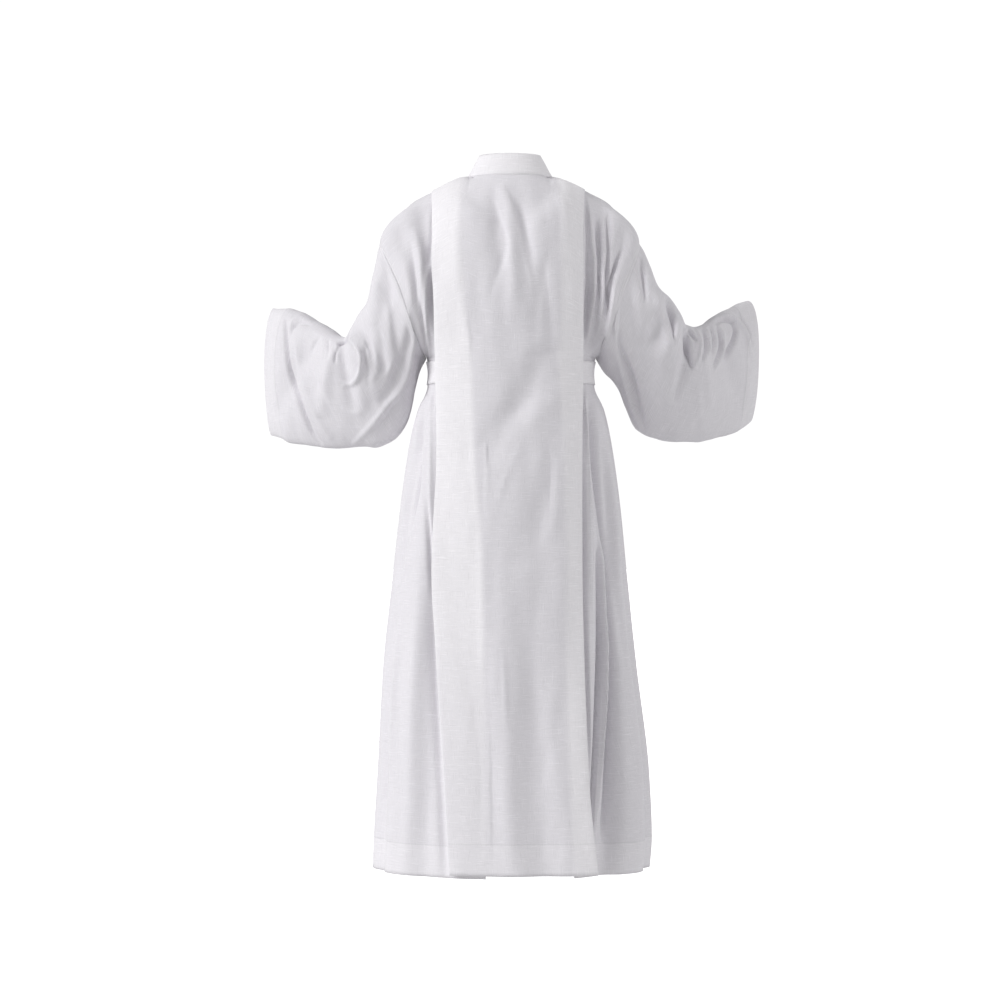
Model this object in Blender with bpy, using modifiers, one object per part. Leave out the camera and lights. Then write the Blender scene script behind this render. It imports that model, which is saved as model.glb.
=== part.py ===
# A worn alb as a hollow garment: back with a box pleat, two fronts, bell sleeves, stand collar and belt.
# Metres, +Z up. The back faces +Y and the garment's left side is +X.
# The origin is the middle of the neck opening, level with the collar seam at the nape.

import math

import bmesh
import bpy
import numpy as np

# Walls and seams
CLOTH_WALL = 0.0010
BAND_WALL = 0.0016
SEAM_GAP = 0.0007
COLLAR_STAND_OFF = 0.0015

# Neck and collar
NECK_HALF_WIDTH = 0.075
NECK_BACK = 0.062
NECK_FRONT = 0.075
NECK_DROP = 0.065
NECK_DIP_POWER = 1.3
COLLAR_HEIGHT = 0.040
COLLAR_LEAN = 0.78
COLLAR_COLUMNS = 24
COLLAR_END_GAP = 0.004
COLLAR_TILT = -0.006
COLLAR_RISE_AT_LAP = 0.0030
COLLAR_PUSH = 0.75
RING_GROWTH = 0.20

# Heights of the waist, the belt and the hem
UNDERARM_HEIGHT = -0.334
BELT_TOP = -0.341
BELT_BOTTOM = -0.383
BELT_SLIT_MARGIN = 0.0035
BELT_OFFSET = 0.0020
BELT_LAP = 0.030
BELT_LAP_SPACING = 0.0030
BELT_COLUMNS = 48
BELT_LAP_FADE = (0.085, 0.040)
BELT_ZONE = 0.07
HEM_HEIGHT = -1.272
PANEL_HEM_RISE = 0.006

# Layers of the box pleat, middle of one wall to the middle of the next
RETURN_SPACING = 0.0024
RETURN_SPACING_AT_BELT = 0.0046
PANEL_SPACING = 0.0024
FOLD_ROOM = 0.026
LAP_SPACING = 0.0019
LAP_FADE = (0.060, 0.022)
COLLAR_LAP_FADE = (0.045, 0.025)
LAP_HALF_WIDTH = NECK_HALF_WIDTH * math.sin(math.radians(15))

# Grid of the pieces
UPPER_ROWS = 11
LOWER_HEIGHTS = (
    BELT_TOP + BELT_SLIT_MARGIN, 0.5 * (BELT_TOP + BELT_BOTTOM), BELT_BOTTOM - BELT_SLIT_MARGIN,
    -0.402, -0.432, -0.476, -0.540, -0.620, -0.710, -0.805, -0.900, -1.000, -1.105, -1.210, HEM_HEIGHT,
)
SLIT_ROWS = (UPPER_ROWS + 1, UPPER_ROWS + 2)
SIDE_COLUMNS = 15
RETURN_COLUMNS = 3
TURN_STEPS = 4
PANEL_INNER_COLUMNS = 12
PANEL_OUTER_COLUMNS = 3
FRONT_INNER_COLUMNS = 7
FRONT_OUTER_COLUMNS = 8
SLEEVE_RINGS = 15
SECTION_POWER = 0.85
PANEL_POWER = 2.2
FOLD_TAPER = 0.8
SLEEVE_EGG = 0.22
UNDERARM_OFFSET = 0.0017


def table(names, rows):
    """A short table as a dictionary of columns."""
    return dict(zip(names.split(), np.array(rows, float).T))


# Levels run from 0 at the neck and shoulder seam to 1 at the underarm and 2 at the hem.

# The armhole: its distance out from the middle on each side, depth at the back and front, height
ARMHOLE = table("level left right back front height", (
    (0.00, 0.2405, 0.2390, 0.000, 0.000, -0.1220),
    (0.10, 0.2370, 0.2360, 0.024, -0.022, -0.1310),
    (0.25, 0.2170, 0.2200, 0.054, -0.048, -0.1720),
    (0.42, 0.1975, 0.2030, 0.078, -0.070, -0.2160),
    (0.57, 0.1845, 0.1910, 0.088, -0.080, -0.2580),
    (0.74, 0.1720, 0.1780, 0.070, -0.065, -0.3040),
    (1.00, 0.1535, 0.1570, 0.000, 0.000, UNDERARM_HEIGHT),
))

# The shoulder seam
SHOULDER = table("out height", (
    (0.000, 0.000), (0.075, 0.000), (0.096, -0.007), (0.128, -0.019), (0.150, -0.030),
    (0.178, -0.045), (0.200, -0.067), (0.222, -0.096), (0.2405, -0.122),
))

# The back above the underarm: depth and height at the middle, below the neck point and halfway out
BACK = table("level centre_y centre_z neck_y neck_z mid_y mid_z", (
    (0.00, 0.062, 0.000, 0.000, 0.000, 0.000, -0.036),
    (0.10, 0.078, -0.028, 0.027, -0.008, 0.024, -0.040),
    (0.25, 0.100, -0.075, 0.062, -0.040, 0.052, -0.077),
    (0.42, 0.118, -0.130, 0.094, -0.092, 0.082, -0.130),
    (0.57, 0.126, -0.185, 0.110, -0.150, 0.096, -0.185),
    (0.74, 0.126, -0.250, 0.112, -0.228, 0.094, -0.252),
    (1.00, 0.115, UNDERARM_HEIGHT, 0.1024, UNDERARM_HEIGHT, 0.0818, UNDERARM_HEIGHT),
))

# The front above the underarm, in the same way
FRONT = table("level centre_y centre_z neck_y neck_z mid_y mid_z", (
    (0.00, -0.075, -0.065, 0.000, 0.000, 0.000, -0.036),
    (0.10, -0.088, -0.090, -0.044, -0.024, -0.024, -0.041),
    (0.25, -0.104, -0.128, -0.072, -0.062, -0.050, -0.080),
    (0.42, -0.119, -0.172, -0.098, -0.112, -0.079, -0.136),
    (0.57, -0.128, -0.215, -0.110, -0.160, -0.094, -0.190),
    (0.74, -0.131, -0.265, -0.116, -0.236, -0.094, -0.256),
    (1.00, -0.122, UNDERARM_HEIGHT, -0.1086, UNDERARM_HEIGHT, -0.0868, UNDERARM_HEIGHT),
))

# Sections below the underarm: half widths on each side, depth at the back and front
SKIRT = table("drop left right back front", (
    (0.334, 0.1535, 0.1570, 0.115, 0.122),
    (0.362, 0.1495, 0.1530, 0.112, 0.120),
    (0.390, 0.1525, 0.1560, 0.114, 0.122),
    (0.430, 0.1690, 0.1740, 0.126, 0.135),
    (0.500, 0.1860, 0.1890, 0.142, 0.150),
    (0.605, 0.2015, 0.2035, 0.154, 0.163),
    (0.750, 0.2180, 0.2175, 0.163, 0.175),
    (0.900, 0.2340, 0.2330, 0.170, 0.184),
    (1.100, 0.2445, 0.2570, 0.178, 0.193),
    (1.220, 0.2515, 0.2620, 0.184, 0.198),
    (1.275, 0.2535, 0.2580, 0.186, 0.200),
))

# The box pleat: distance out of the outer and inner folds, depth of the panel at its edge and middle
PLEAT = table("level outer_left outer_right inner_left inner_right edge_y centre_y", (
    (0.00, 0.1406, 0.1350, 0.0765, 0.0765, 0.000, 0.062),
    (0.15, 0.1415, 0.1345, 0.0900, 0.0920, 0.040, 0.090),
    (0.45, 0.1420, 0.1320, 0.0940, 0.0960, 0.088, 0.124),
    (0.70, 0.1380, 0.1320, 0.0880, 0.0960, 0.103, 0.136),
    (1.00, 0.1355, 0.1320, 0.0740, 0.0905, 0.098, 0.138),
    (1.18, 0.1325, 0.1295, 0.0680, 0.0990, 0.114, 0.147),
    (1.42, 0.1405, 0.1290, 0.0520, 0.1040, 0.137, 0.160),
    (1.59, 0.1313, 0.1320, 0.0500, 0.1040, 0.152, 0.171),
    (1.83, 0.1167, 0.1404, 0.0470, 0.1100, 0.171, 0.186),
    (2.00, 0.1075, 0.1560, 0.0450, 0.1150, 0.182, 0.196),
))

# Folds of the cloth beside the panel: side, place across at the top and the bottom (0 at the inner
# fold, 1 at the side seam), levels of the top and the bottom, width across, depth
SIDE_FOLDS = (
    ("back", 1, 0.34, 0.36, 0.02, 0.98, 0.10, 0.012),
    ("back", 1, 0.62, 0.58, 0.15, 0.98, 0.09, 0.008),
    ("back", -1, 0.36, 0.34, 0.02, 0.98, 0.09, 0.014),
    ("back", -1, 0.68, 0.58, 0.10, 0.98, 0.09, 0.012),
    ("back", 1, 0.62, 0.84, 1.06, 1.48, 0.09, 0.014),
    ("back", 1, 0.80, 0.76, 1.45, 2.30, 0.08, 0.012),
    ("back", 1, 0.30, 0.36, 1.06, 2.30, 0.10, 0.012),
    ("back", -1, 0.34, 0.42, 1.06, 1.55, 0.08, 0.016),
    ("back", -1, 0.56, 0.60, 1.06, 1.60, 0.08, 0.014),
    ("back", -1, 0.42, 0.14, 1.40, 2.30, 0.13, 0.022),
    ("back", -1, 0.84, 0.80, 1.10, 2.30, 0.09, 0.013),
    ("front", 1, 0.55, 0.52, 0.05, 0.98, 0.10, 0.012),
    ("front", -1, 0.57, 0.50, 0.05, 0.98, 0.10, 0.013),
    ("front", 1, 0.40, 0.46, 1.06, 2.30, 0.10, 0.018),
    ("front", 1, 0.68, 0.74, 1.06, 2.30, 0.09, 0.016),
    ("front", 1, 0.90, 0.88, 1.30, 2.30, 0.07, 0.010),
    ("front", -1, 0.42, 0.40, 1.06, 2.30, 0.10, 0.020),
    ("front", -1, 0.66, 0.68, 1.06, 2.30, 0.09, 0.015),
    ("front", -1, 0.86, 0.90, 1.25, 2.30, 0.07, 0.011),
)

# Folds of the hanging panel: place across at the top and the bottom (1 at the left edge, -1 at the
# right), levels of the top and the bottom, width across, height out of the panel
PANEL_FOLDS = (
    (0.05, -0.14, 0.05, 0.85, 0.13, 0.007),
    (0.20, 0.06, 0.05, 0.60, 0.12, -0.007),
    (-0.12, -0.30, 0.05, 0.75, 0.12, -0.006),
    (-0.62, 0.30, 0.95, 1.22, 0.20, -0.008),
    (-0.70, -0.20, 1.18, 1.42, 0.22, -0.006),
    (0.10, 0.20, 1.35, 2.20, 0.20, 0.006),
    (-0.32, -0.25, 1.45, 2.20, 0.20, -0.007),
)

# Sleeve rings from the armhole to the cuff: highest and lowest point, half widths at the back and the
# front, and how far the forearm has turned to the front
LEFT_SLEEVE = table("top_x top_y top_z low_x low_y low_z back front turn", (
    (0.2405, 0.000, -0.1220, 0.1550, 0.000, -0.3340, 0.088, 0.080, 0),
    (0.2480, 0.000, -0.1630, 0.1685, -0.012, -0.3680, 0.085, 0.078, 0),
    (0.2555, 0.000, -0.1925, 0.1758, -0.018, -0.3960, 0.080, 0.072, 0),
    (0.2612, 0.000, -0.2257, 0.1835, -0.022, -0.4290, 0.073, 0.066, 3),
    (0.2765, -0.005, -0.2480, 0.1945, -0.028, -0.4590, 0.066, 0.060, 8),
    (0.2905, -0.010, -0.2735, 0.2160, -0.034, -0.4840, 0.059, 0.056, 15),
    (0.3030, -0.020, -0.2925, 0.2493, -0.040, -0.4950, 0.054, 0.052, 24),
    (0.3170, -0.035, -0.2905, 0.2873, -0.052, -0.4970, 0.050, 0.050, 32),
    (0.3405, -0.060, -0.2737, 0.3299, -0.075, -0.4990, 0.046, 0.050, 38),
    (0.3808, -0.100, -0.2485, 0.3849, -0.105, -0.4920, 0.040, 0.052, 40),
    (0.4217, -0.140, -0.2325, 0.4293, -0.140, -0.4815, 0.033, 0.052, 40),
    (0.4508, -0.170, -0.2265, 0.4546, -0.170, -0.4735, 0.026, 0.052, 40),
))
RIGHT_SLEEVE = table("top_x top_y top_z low_x low_y low_z back front turn", (
    (0.2390, 0.000, -0.1220, 0.1585, 0.000, -0.3340, 0.088, 0.080, 0),
    (0.2520, 0.000, -0.1450, 0.1740, -0.012, -0.3570, 0.085, 0.078, 0),
    (0.2627, 0.000, -0.1670, 0.1906, -0.018, -0.3730, 0.080, 0.072, 0),
    (0.2740, 0.000, -0.1980, 0.2035, -0.022, -0.3920, 0.073, 0.066, 3),
    (0.2945, -0.005, -0.2216, 0.2167, -0.028, -0.4253, 0.066, 0.060, 8),
    (0.3096, -0.010, -0.2472, 0.2376, -0.034, -0.4658, 0.059, 0.056, 15),
    (0.3195, -0.020, -0.2707, 0.2681, -0.040, -0.4803, 0.054, 0.052, 24),
    (0.3392, -0.035, -0.2734, 0.3044, -0.052, -0.4874, 0.050, 0.050, 32),
    (0.3634, -0.060, -0.2662, 0.3454, -0.075, -0.4869, 0.046, 0.050, 38),
    (0.3929, -0.100, -0.2466, 0.3895, -0.105, -0.4786, 0.040, 0.052, 40),
    (0.4265, -0.140, -0.2268, 0.4303, -0.140, -0.4645, 0.033, 0.052, 40),
    (0.4559, -0.170, -0.2169, 0.4578, -0.170, -0.4446, 0.026, 0.052, 40),
))

# Folds of the sleeves: ring at the upper and the lower end, place down the ring at both ends (0 at
# the top, 1 at the bottom), face (1 back, -1 front), width in rings, height out of the sleeve
SLEEVE_FOLDS = (
    (0.38, 0.30, 0.02, 0.60, 1, 0.045, -0.010),
    (0.46, 0.40, 0.02, 0.55, 1, 0.035, 0.008),
    (0.53, 0.55, 0.02, 0.70, 1, 0.035, -0.011),
    (0.60, 0.72, 0.04, 0.75, 1, 0.035, 0.007),
    (0.72, 0.90, 0.06, 0.85, 1, 0.040, -0.008),
    (0.40, 0.34, 0.02, 0.60, -1, 0.045, -0.009),
    (0.55, 0.58, 0.02, 0.70, -1, 0.040, -0.011),
    (0.74, 0.88, 0.05, 0.80, -1, 0.045, -0.008),
)


def smooth(keys, values, at):
    """A curve through the values that doesn't overshoot them."""
    keys = np.asarray(keys, float)
    values = np.asarray(values, float)
    at = np.asarray(at, float)
    steps = np.diff(keys)
    rises = np.diff(values) / steps
    slopes = np.concatenate([rises[:1], np.zeros(len(keys) - 2), rises[-1:]])
    product = rises[:-1] * rises[1:]
    total = rises[:-1] + rises[1:]
    same = product > 0
    slopes[1:-1][same] = 2 * product[same] / total[same]
    i = np.clip(np.searchsorted(keys, at, side="right") - 1, 0, len(keys) - 2)
    t = np.clip((at - keys[i]) / steps[i], 0, 1)
    return (
        values[i] * (1 + 2 * t) * (1 - t) ** 2
        + values[i + 1] * t * t * (3 - 2 * t)
        + slopes[i] * steps[i] * t * (1 - t) ** 2
        + slopes[i + 1] * steps[i] * t * t * (t - 1)
    )


def read(source, column, at):
    """A column of a table at a place along its first column."""
    keys = next(iter(source.values()))
    return smooth(keys, source[column], at)


def ease(low, high, at):
    """0 below low, 1 above high, and a soft step between."""
    t = np.clip((np.asarray(at, float) - low) / (high - low), 0, 1)
    return t * t * (3 - 2 * t)


def hand(side):
    return "left" if side > 0 else "right"


def level_of(height):
    """The level of a height below the underarm."""
    return 1 + (UNDERARM_HEIGHT - height) / (UNDERARM_HEIGHT - HEM_HEIGHT)


def height_of(level):
    return UNDERARM_HEIGHT - (level - 1) * (UNDERARM_HEIGHT - HEM_HEIGHT)


def row_levels():
    upper = [row / UPPER_ROWS for row in range(UPPER_ROWS + 1)]
    return np.array(upper + [level_of(height) for height in LOWER_HEIGHTS])


def edge_out(side, level):
    """How far out the armhole or the side seam is at a level."""
    if level <= 1:
        return float(read(ARMHOLE, hand(side), level))
    return float(read(SKIRT, hand(side), -height_of(level)))


def neck_point(out, face):
    """Depth and height of the neckline at a distance out from the middle."""
    round_off = math.sqrt(max(0.0, 1 - (out / NECK_HALF_WIDTH) ** 2))
    if face == "back":
        return NECK_BACK * round_off, 0.0
    return -NECK_FRONT * round_off, -NECK_DROP * round_off ** NECK_DIP_POWER


def body_point(face, side, out, level):
    """A point of the body cloth, before its folds, at a distance out from the middle."""
    out = min(max(out, 0.0), edge_out(side, level))
    sign = 1 if face == "back" else -1
    if level <= 0:
        if out < NECK_HALF_WIDTH:
            y, z = neck_point(out, face)
        else:
            y, z = 0.0, float(read(SHOULDER, "height", out))
    elif level <= 1:
        reach = edge_out(side, level)
        middle = NECK_HALF_WIDTH + 0.5 * (reach - NECK_HALF_WIDTH)
        turn = [math.asin(min(1.0, x / reach)) for x in (NECK_HALF_WIDTH, middle, reach)]
        keys = [-turn[1], -turn[0], 0.0] + turn
        source = BACK if face == "back" else FRONT
        at = math.asin(min(1.0, out / reach))
        places = {}
        for axis, edge in (("y", face), ("z", "height")):
            centre, neck, mid = (read(source, f"{name}_{axis}", level) for name in ("centre", "neck", "mid"))
            values = [mid, neck, centre, neck, mid, read(ARMHOLE, edge, level)]
            places[axis] = float(smooth(keys, values, at))
        y, z = places["y"], places["z"]
        wide = NECK_HALF_WIDTH + RING_GROWTH * level
        if out < wide:
            round_off = math.sqrt(1 - (out / wide) ** 2)
            ring_y = read(source, "centre_y", level) * round_off
            share = round_off ** NECK_DIP_POWER if face == "front" else 0.35 + 0.65 * round_off
            ring_z = read(source, "centre_z", level) * share
            near = float(ease(wide, 0.7 * wide, out) * ease(0.45, 0.10, level))
            y += (float(ring_y) - y) * near
            z += (float(ring_z) - z) * near
    else:
        z = height_of(level)
        cosine = math.sqrt(max(0.0, 1 - (out / edge_out(side, level)) ** 2))
        y = sign * float(read(SKIRT, face, -z)) * cosine ** SECTION_POWER
    y = sign * max(sign * y, SEAM_GAP / 2)
    return np.array([side * out, y, z])


def normals(grid, face_out):
    """Unit normals of a grid of points, turned to the side that face_out gives."""
    across = np.gradient(grid, axis=1)
    down = np.gradient(grid, axis=0)
    normal = np.cross(across, down)
    normal /= np.linalg.norm(normal, axis=2, keepdims=True) + 1e-12
    if (normal * face_out).sum() < 0:
        normal = -normal
    return normal


def out_at(side, level, fraction, start):
    """The distance out at a fraction of the way from start to the armhole or side seam."""
    reach = edge_out(side, level)
    first = math.asin(max(-1.0, min(1.0, start / reach)))
    return reach * math.sin(first + fraction * (math.pi / 2 - first))


def fold_depth(face, side, fraction, level):
    """How far the cloth lies inside its smooth form at a place of a side."""
    depth = 0.0
    for fold_face, fold_side, top_at, low_at, top, low, width, most in SIDE_FOLDS:
        if (fold_face, fold_side) != (face, side) or not top < level < low:
            continue
        along = (level - top) / (low - top)
        centre = top_at + (low_at - top_at) * along
        shape = math.exp(-(((fraction - centre) / width) ** 2))
        depth += most * shape * math.sin(math.pi * along) ** FOLD_TAPER
    free = 1 if level <= 1 else ease(level_of(LOWER_HEIGHTS[2]), 1.25, level)
    edge = ease(1.0, 0.90, fraction) * ease(0.0, 0.06, fraction)
    return depth * float(free) * float(edge)


def side_grid(side):
    """The cloth between the side seam and the inner fold, with its folds."""
    levels = row_levels()
    inner = read(PLEAT, "inner_" + hand(side), levels)
    fractions = np.linspace(1, 0, SIDE_COLUMNS + 1)
    plain = np.array([
        [body_point("back", side, out_at(side, level, fraction, start), level) for fraction in fractions]
        for level, start in zip(levels, inner)
    ])
    outward = normals(plain, np.array([side, 1.0, 0.2]))
    depth = np.array([
        [fold_depth("back", side, fraction, level) for fraction in fractions] for level in levels
    ])
    return plain - outward * depth[:, :, None], outward


def panel_outs(level):
    """Distances to the left of the middle for the panel's columns, left edge first."""
    left = float(read(PLEAT, "outer_left", level))
    right = -float(read(PLEAT, "outer_right", level))
    middle, half = 0.5 * (left + right), 0.5 * (left - right)
    lower = float(ease(0.0, 0.3, level))
    share = NECK_HALF_WIDTH / half
    knots = [
        sign * NECK_HALF_WIDTH * (1 - lower) + (middle + sign * half * share) * lower for sign in (1, -1)
    ]
    even = np.linspace(1, -1, PANEL_INNER_COLUMNS + 1)
    spread = np.sin(even * math.pi / 2) * (1 - lower) + even * lower
    inner = 0.5 * (knots[0] + knots[1]) + 0.5 * (knots[0] - knots[1]) * spread
    first = np.linspace(left, knots[0], PANEL_OUTER_COLUMNS + 1)[:-1]
    last = np.linspace(knots[1], right, PANEL_OUTER_COLUMNS + 1)[1:]
    return np.concatenate([first, inner, last])


def panel_grid():
    """The hanging panel, from its left outer fold to its right one."""
    levels = row_levels()
    outs = np.array([panel_outs(level) for level in levels])
    under = np.array([
        [body_point("back", 1 if x >= 0 else -1, abs(x), level) for x in row]
        for row, level in zip(outs, levels)
    ])
    outward = normals(under, np.array([0.0, 1.0, 0.3]))
    lift = np.array([return_spacing(level) + PANEL_SPACING for level in levels])
    near = under + outward * lift[:, None, None]
    left = read(PLEAT, "outer_left", levels)
    right = -read(PLEAT, "outer_right", levels)
    across = (outs - 0.5 * (left + right)[:, None]) / (0.5 * (left - right)[:, None])
    edge = read(PLEAT, "edge_y", levels)[:, None]
    centre = read(PLEAT, "centre_y", levels)[:, None]
    hung = near.copy()
    hung[:, :, 1] = edge + (centre - edge) * (1 - np.abs(across) ** PANEL_POWER)
    hung[:, :, 1] = np.maximum(hung[:, :, 1], near[:, :, 1])
    hung[:, :, 0] = outs
    free = ease(0.02, 0.40, levels)[:, None, None]
    grid = near * (1 - free) + hung * free
    for top_at, low_at, top, low, width, most in PANEL_FOLDS:
        along = np.clip((levels - top) / (low - top), 0, 1)
        place = (top_at + (low_at - top_at) * along)[:, None]
        window = (np.sin(math.pi * along) ** FOLD_TAPER)[:, None] * ease(1.0, 0.75, np.abs(across))
        grid[:, :, 1] += most * window * np.exp(-(((across - place) / width) ** 2))
    inner_left = read(PLEAT, "inner_left", levels)[:, None]
    inner_right = read(PLEAT, "inner_right", levels)[:, None]
    inner = np.where(outs > 0, inner_left, inner_right)
    covers = (np.abs(outs) > inner - FOLD_ROOM) & (levels > 0.4)[:, None]
    grid[:, :, 1] = np.where(covers, np.maximum(grid[:, :, 1], near[:, :, 1]), grid[:, :, 1])
    grid[:, :, 2] += PANEL_HEM_RISE * ease(1.2, 2.0, levels)[:, None]
    return grid


def return_spacing(level):
    """The space that the return keeps to the cloth under it, wider where the belt passes."""
    from_belt = level - level_of(0.5 * (BELT_TOP + BELT_BOTTOM))
    near_belt = math.exp(-((from_belt / BELT_ZONE) ** 2))
    return RETURN_SPACING + (RETURN_SPACING_AT_BELT - RETURN_SPACING) * near_belt


def turn_points(start, end, sideways):
    """The points of a fold between two layers, on a half circle."""
    middle, arm = 0.5 * (start + end), 0.5 * (start - end)
    radius = np.linalg.norm(arm, axis=1, keepdims=True)
    angles = [math.pi * step / TURN_STEPS for step in range(1, TURN_STEPS)]
    return [middle + arm * math.cos(angle) + sideways * radius * math.sin(angle) for angle in angles]


def unit(vectors):
    return vectors / (np.linalg.norm(vectors, axis=-1, keepdims=True) + 1e-12)


def back_grid():
    """The whole back: side, inner fold, return, outer fold, panel, and the same on the right."""
    levels = row_levels()
    panel = panel_grid()
    panel_out = normals(panel, np.array([0.0, 1.0, 0.3]))
    spacing = np.array([return_spacing(level) for level in levels])[:, None]
    halves = []
    for side in (1, -1):
        cloth, outward = side_grid(side)
        edge = 0 if side > 0 else -1
        inward = 1 if side > 0 else -2
        fold_out = unit(panel[:, edge] - panel[:, inward])
        outer = panel[:, edge] - panel_out[:, edge] * PANEL_SPACING
        inner = cloth[:, -1] + outward[:, -1] * spacing
        fold_in = unit(cloth[:, -1] - cloth[:, -2])
        bends = turn_points(cloth[:, -1], inner, fold_in)
        name = hand(side)
        inner_out = read(PLEAT, "inner_" + name, levels)
        outer_out = read(PLEAT, "outer_" + name, levels)
        under_edge = np.array([body_point("back", side, x, level) for x, level in zip(outer_out, levels)])
        under_inner = np.array([body_point("back", side, x, level) for x, level in zip(inner_out, levels)])
        returns = []
        for step in range(RETURN_COLUMNS + 1):
            share = step / RETURN_COLUMNS
            outs = inner_out + (outer_out - inner_out) * share
            under = np.array([body_point("back", side, x, level) for x, level in zip(outs, levels)])
            cloth_at = under + (inner - under_inner) * (1 - share) + (outer - under_edge) * share
            over = np.array([
                np.interp(side * x, side * row[::-side, 0], row[::-side, 1])
                for x, row in zip(cloth_at[:, 0], panel)
            ])
            cloth_at[:, 1] = np.minimum(cloth_at[:, 1], over - PANEL_SPACING)
            returns.append(cloth_at)
        folds = turn_points(returns[-1], panel[:, edge], fold_out)
        halves.append([cloth[:, i] for i in range(cloth.shape[1])] + bends + returns + folds)
    middle = [panel[:, i] for i in range(panel.shape[1])]
    grid = np.stack(halves[0] + middle + halves[1][::-1], axis=1)
    grid[:, :, 1] = np.maximum(grid[:, :, 1], SEAM_GAP / 2)
    return grid


def front_outs(level, side):
    """Signed distances out, from the lap past the middle to the armhole or side seam."""
    lower = float(ease(0.0, 0.35, level))
    reach = edge_out(side, level)
    start = math.asin(-LAP_HALF_WIDTH / NECK_HALF_WIDTH)
    turns = np.linspace(start, math.pi / 2, FRONT_INNER_COLUMNS + 1)
    inner = NECK_HALF_WIDTH * np.sin(turns)
    outer = np.linspace(NECK_HALF_WIDTH, reach, FRONT_OUTER_COLUMNS + 1)[1:]
    top = np.concatenate([inner, outer])
    count = len(top)
    low = np.array([out_at(side, level, i / (count - 1), -LAP_HALF_WIDTH) for i in range(count)])
    return top * (1 - lower) + low * lower


def front_grid(side):
    """A front, from the lap past the middle to the armhole and side seam."""
    levels = row_levels()
    outs = np.array([front_outs(level, side) for level in levels])
    plain = np.array([
        [body_point("front", side, abs(x), level) * np.array([math.copysign(1, x), 1, 1]) for x in row]
        for row, level in zip(outs, levels)
    ])
    outward = normals(plain, np.array([0.3 * side, -1.0, 0.2]))
    fractions = np.linspace(0, 1, outs.shape[1])
    depth = np.array([
        [fold_depth("front", side, fraction, level) for fraction in fractions] for level in levels
    ])
    rise = LAP_SPACING * ease(*LAP_FADE, outs) if side > 0 else np.zeros_like(outs)
    grid = plain + outward * (rise - depth)[:, :, None]
    grid[:, :, 1] = np.minimum(grid[:, :, 1], -SEAM_GAP / 2)
    return grid


def armhole_ring(side):
    """The points of the armhole: top, down the back, bottom, and up the front."""
    levels = [row / UPPER_ROWS for row in range(UPPER_ROWS + 1)]
    out = read(ARMHOLE, hand(side), levels)
    height = read(ARMHOLE, "height", levels)
    back = np.stack([side * out, read(ARMHOLE, "back", levels), height], axis=1)
    front = np.stack([side * out, read(ARMHOLE, "front", levels), height], axis=1)
    return np.concatenate([back, front[-2:0:-1]])


def sleeve_grid(side):
    """Rings of the sleeve, the first one just outside the armhole."""
    source = LEFT_SLEEVE if side > 0 else RIGHT_SLEEVE
    count = 2 * UPPER_ROWS
    rows = len(source["top_x"])
    first = armhole_ring(side)
    down = first[UPPER_ROWS] - first[0]
    length = np.linalg.norm(down)
    hole_down = (first - first[0]) @ down / length ** 2
    hole_half = np.where(np.arange(count) <= UPPER_ROWS, ARMHOLE["back"].max(), -ARMHOLE["front"].min())
    hole_wide = first[:, 1] / hole_half
    angle = 2 * math.pi * np.arange(count) / count
    drop_down = (1 - np.cos(angle)) / 2
    drop_wide = np.sin(angle) * (1 + SLEEVE_EGG * np.cos(angle))
    rings = []
    for ring in range(SLEEVE_RINGS + 1):
        share = ring / SLEEVE_RINGS
        at = share * (rows - 1)
        values = {name: float(smooth(np.arange(rows), column, at)) for name, column in source.items()}
        top = np.array([side * values["top_x"], values["top_y"], values["top_z"]])
        low = np.array([side * values["low_x"], values["low_y"], values["low_z"]])
        turn = math.radians(values["turn"])
        backward = np.array([side * math.sin(turn), math.cos(turn), 0.0])
        blend = float(ease(0.0, 0.30, share))
        along = hole_down * (1 - blend) + drop_down * blend
        wide = hole_wide * (1 - blend) + drop_wide * blend
        half = np.where(wide > 0, values["back"], values["front"])
        points = top + along[:, None] * (low - top) + (wide * half)[:, None] * backward
        for upper, lower, start, end, face, width, most in SLEEVE_FOLDS:
            inside = (np.sin(angle) * face > 0.05) & (drop_down > start) & (drop_down < end)
            reach = np.clip((drop_down - start) / (end - start), 0, 1)
            centre = upper + (lower - upper) * reach
            shape = np.exp(-(((share - centre) / width) ** 2)) * np.sin(math.pi * reach) ** 0.7
            points += (most * face * shape * inside)[:, None] * backward
        rings.append(points)
    grid = np.array(rings)
    step = unit(grid[1] - grid[0])
    near_low = ease(0.55, 1.0, hole_down)[:, None]
    sideways = np.array([side, 0.0, 0.25])
    grid[0] = first + step * SEAM_GAP * (1 - near_low) + sideways * UNDERARM_OFFSET * near_low
    return grid


def collar_grid():
    """The stand collar, a leaning band with its two ends at the middle of the front."""
    angles = np.linspace(-math.pi, math.pi, COLLAR_COLUMNS + 1)
    gap = COLLAR_END_GAP / NECK_FRONT / 2
    angles = np.clip(angles, -math.pi + gap, math.pi - gap)
    lift = RETURN_SPACING + PANEL_SPACING
    rows = []
    for share in (0.0, 0.5, 1.0):
        row = []
        for angle in angles:
            face = "back" if abs(angle) <= math.pi / 2 else "front"
            out = NECK_HALF_WIDTH * math.sin(angle)
            y, z = neck_point(abs(out), face)
            behind = float(ease(1.75, 1.45, abs(angle)))
            lap = float(ease(*COLLAR_LAP_FADE, abs(out))) if face == "front" else 0.0
            y += lift * COLLAR_PUSH * behind * math.cos(angle)
            z += lift * behind + COLLAR_STAND_OFF + COLLAR_RISE_AT_LAP * lap
            narrow = 1 - (1 - COLLAR_LEAN) * share
            row.append((out * narrow, y * narrow + COLLAR_TILT * share, z + COLLAR_HEIGHT * share))
        rows.append(row)
    return np.array(rows)


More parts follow.
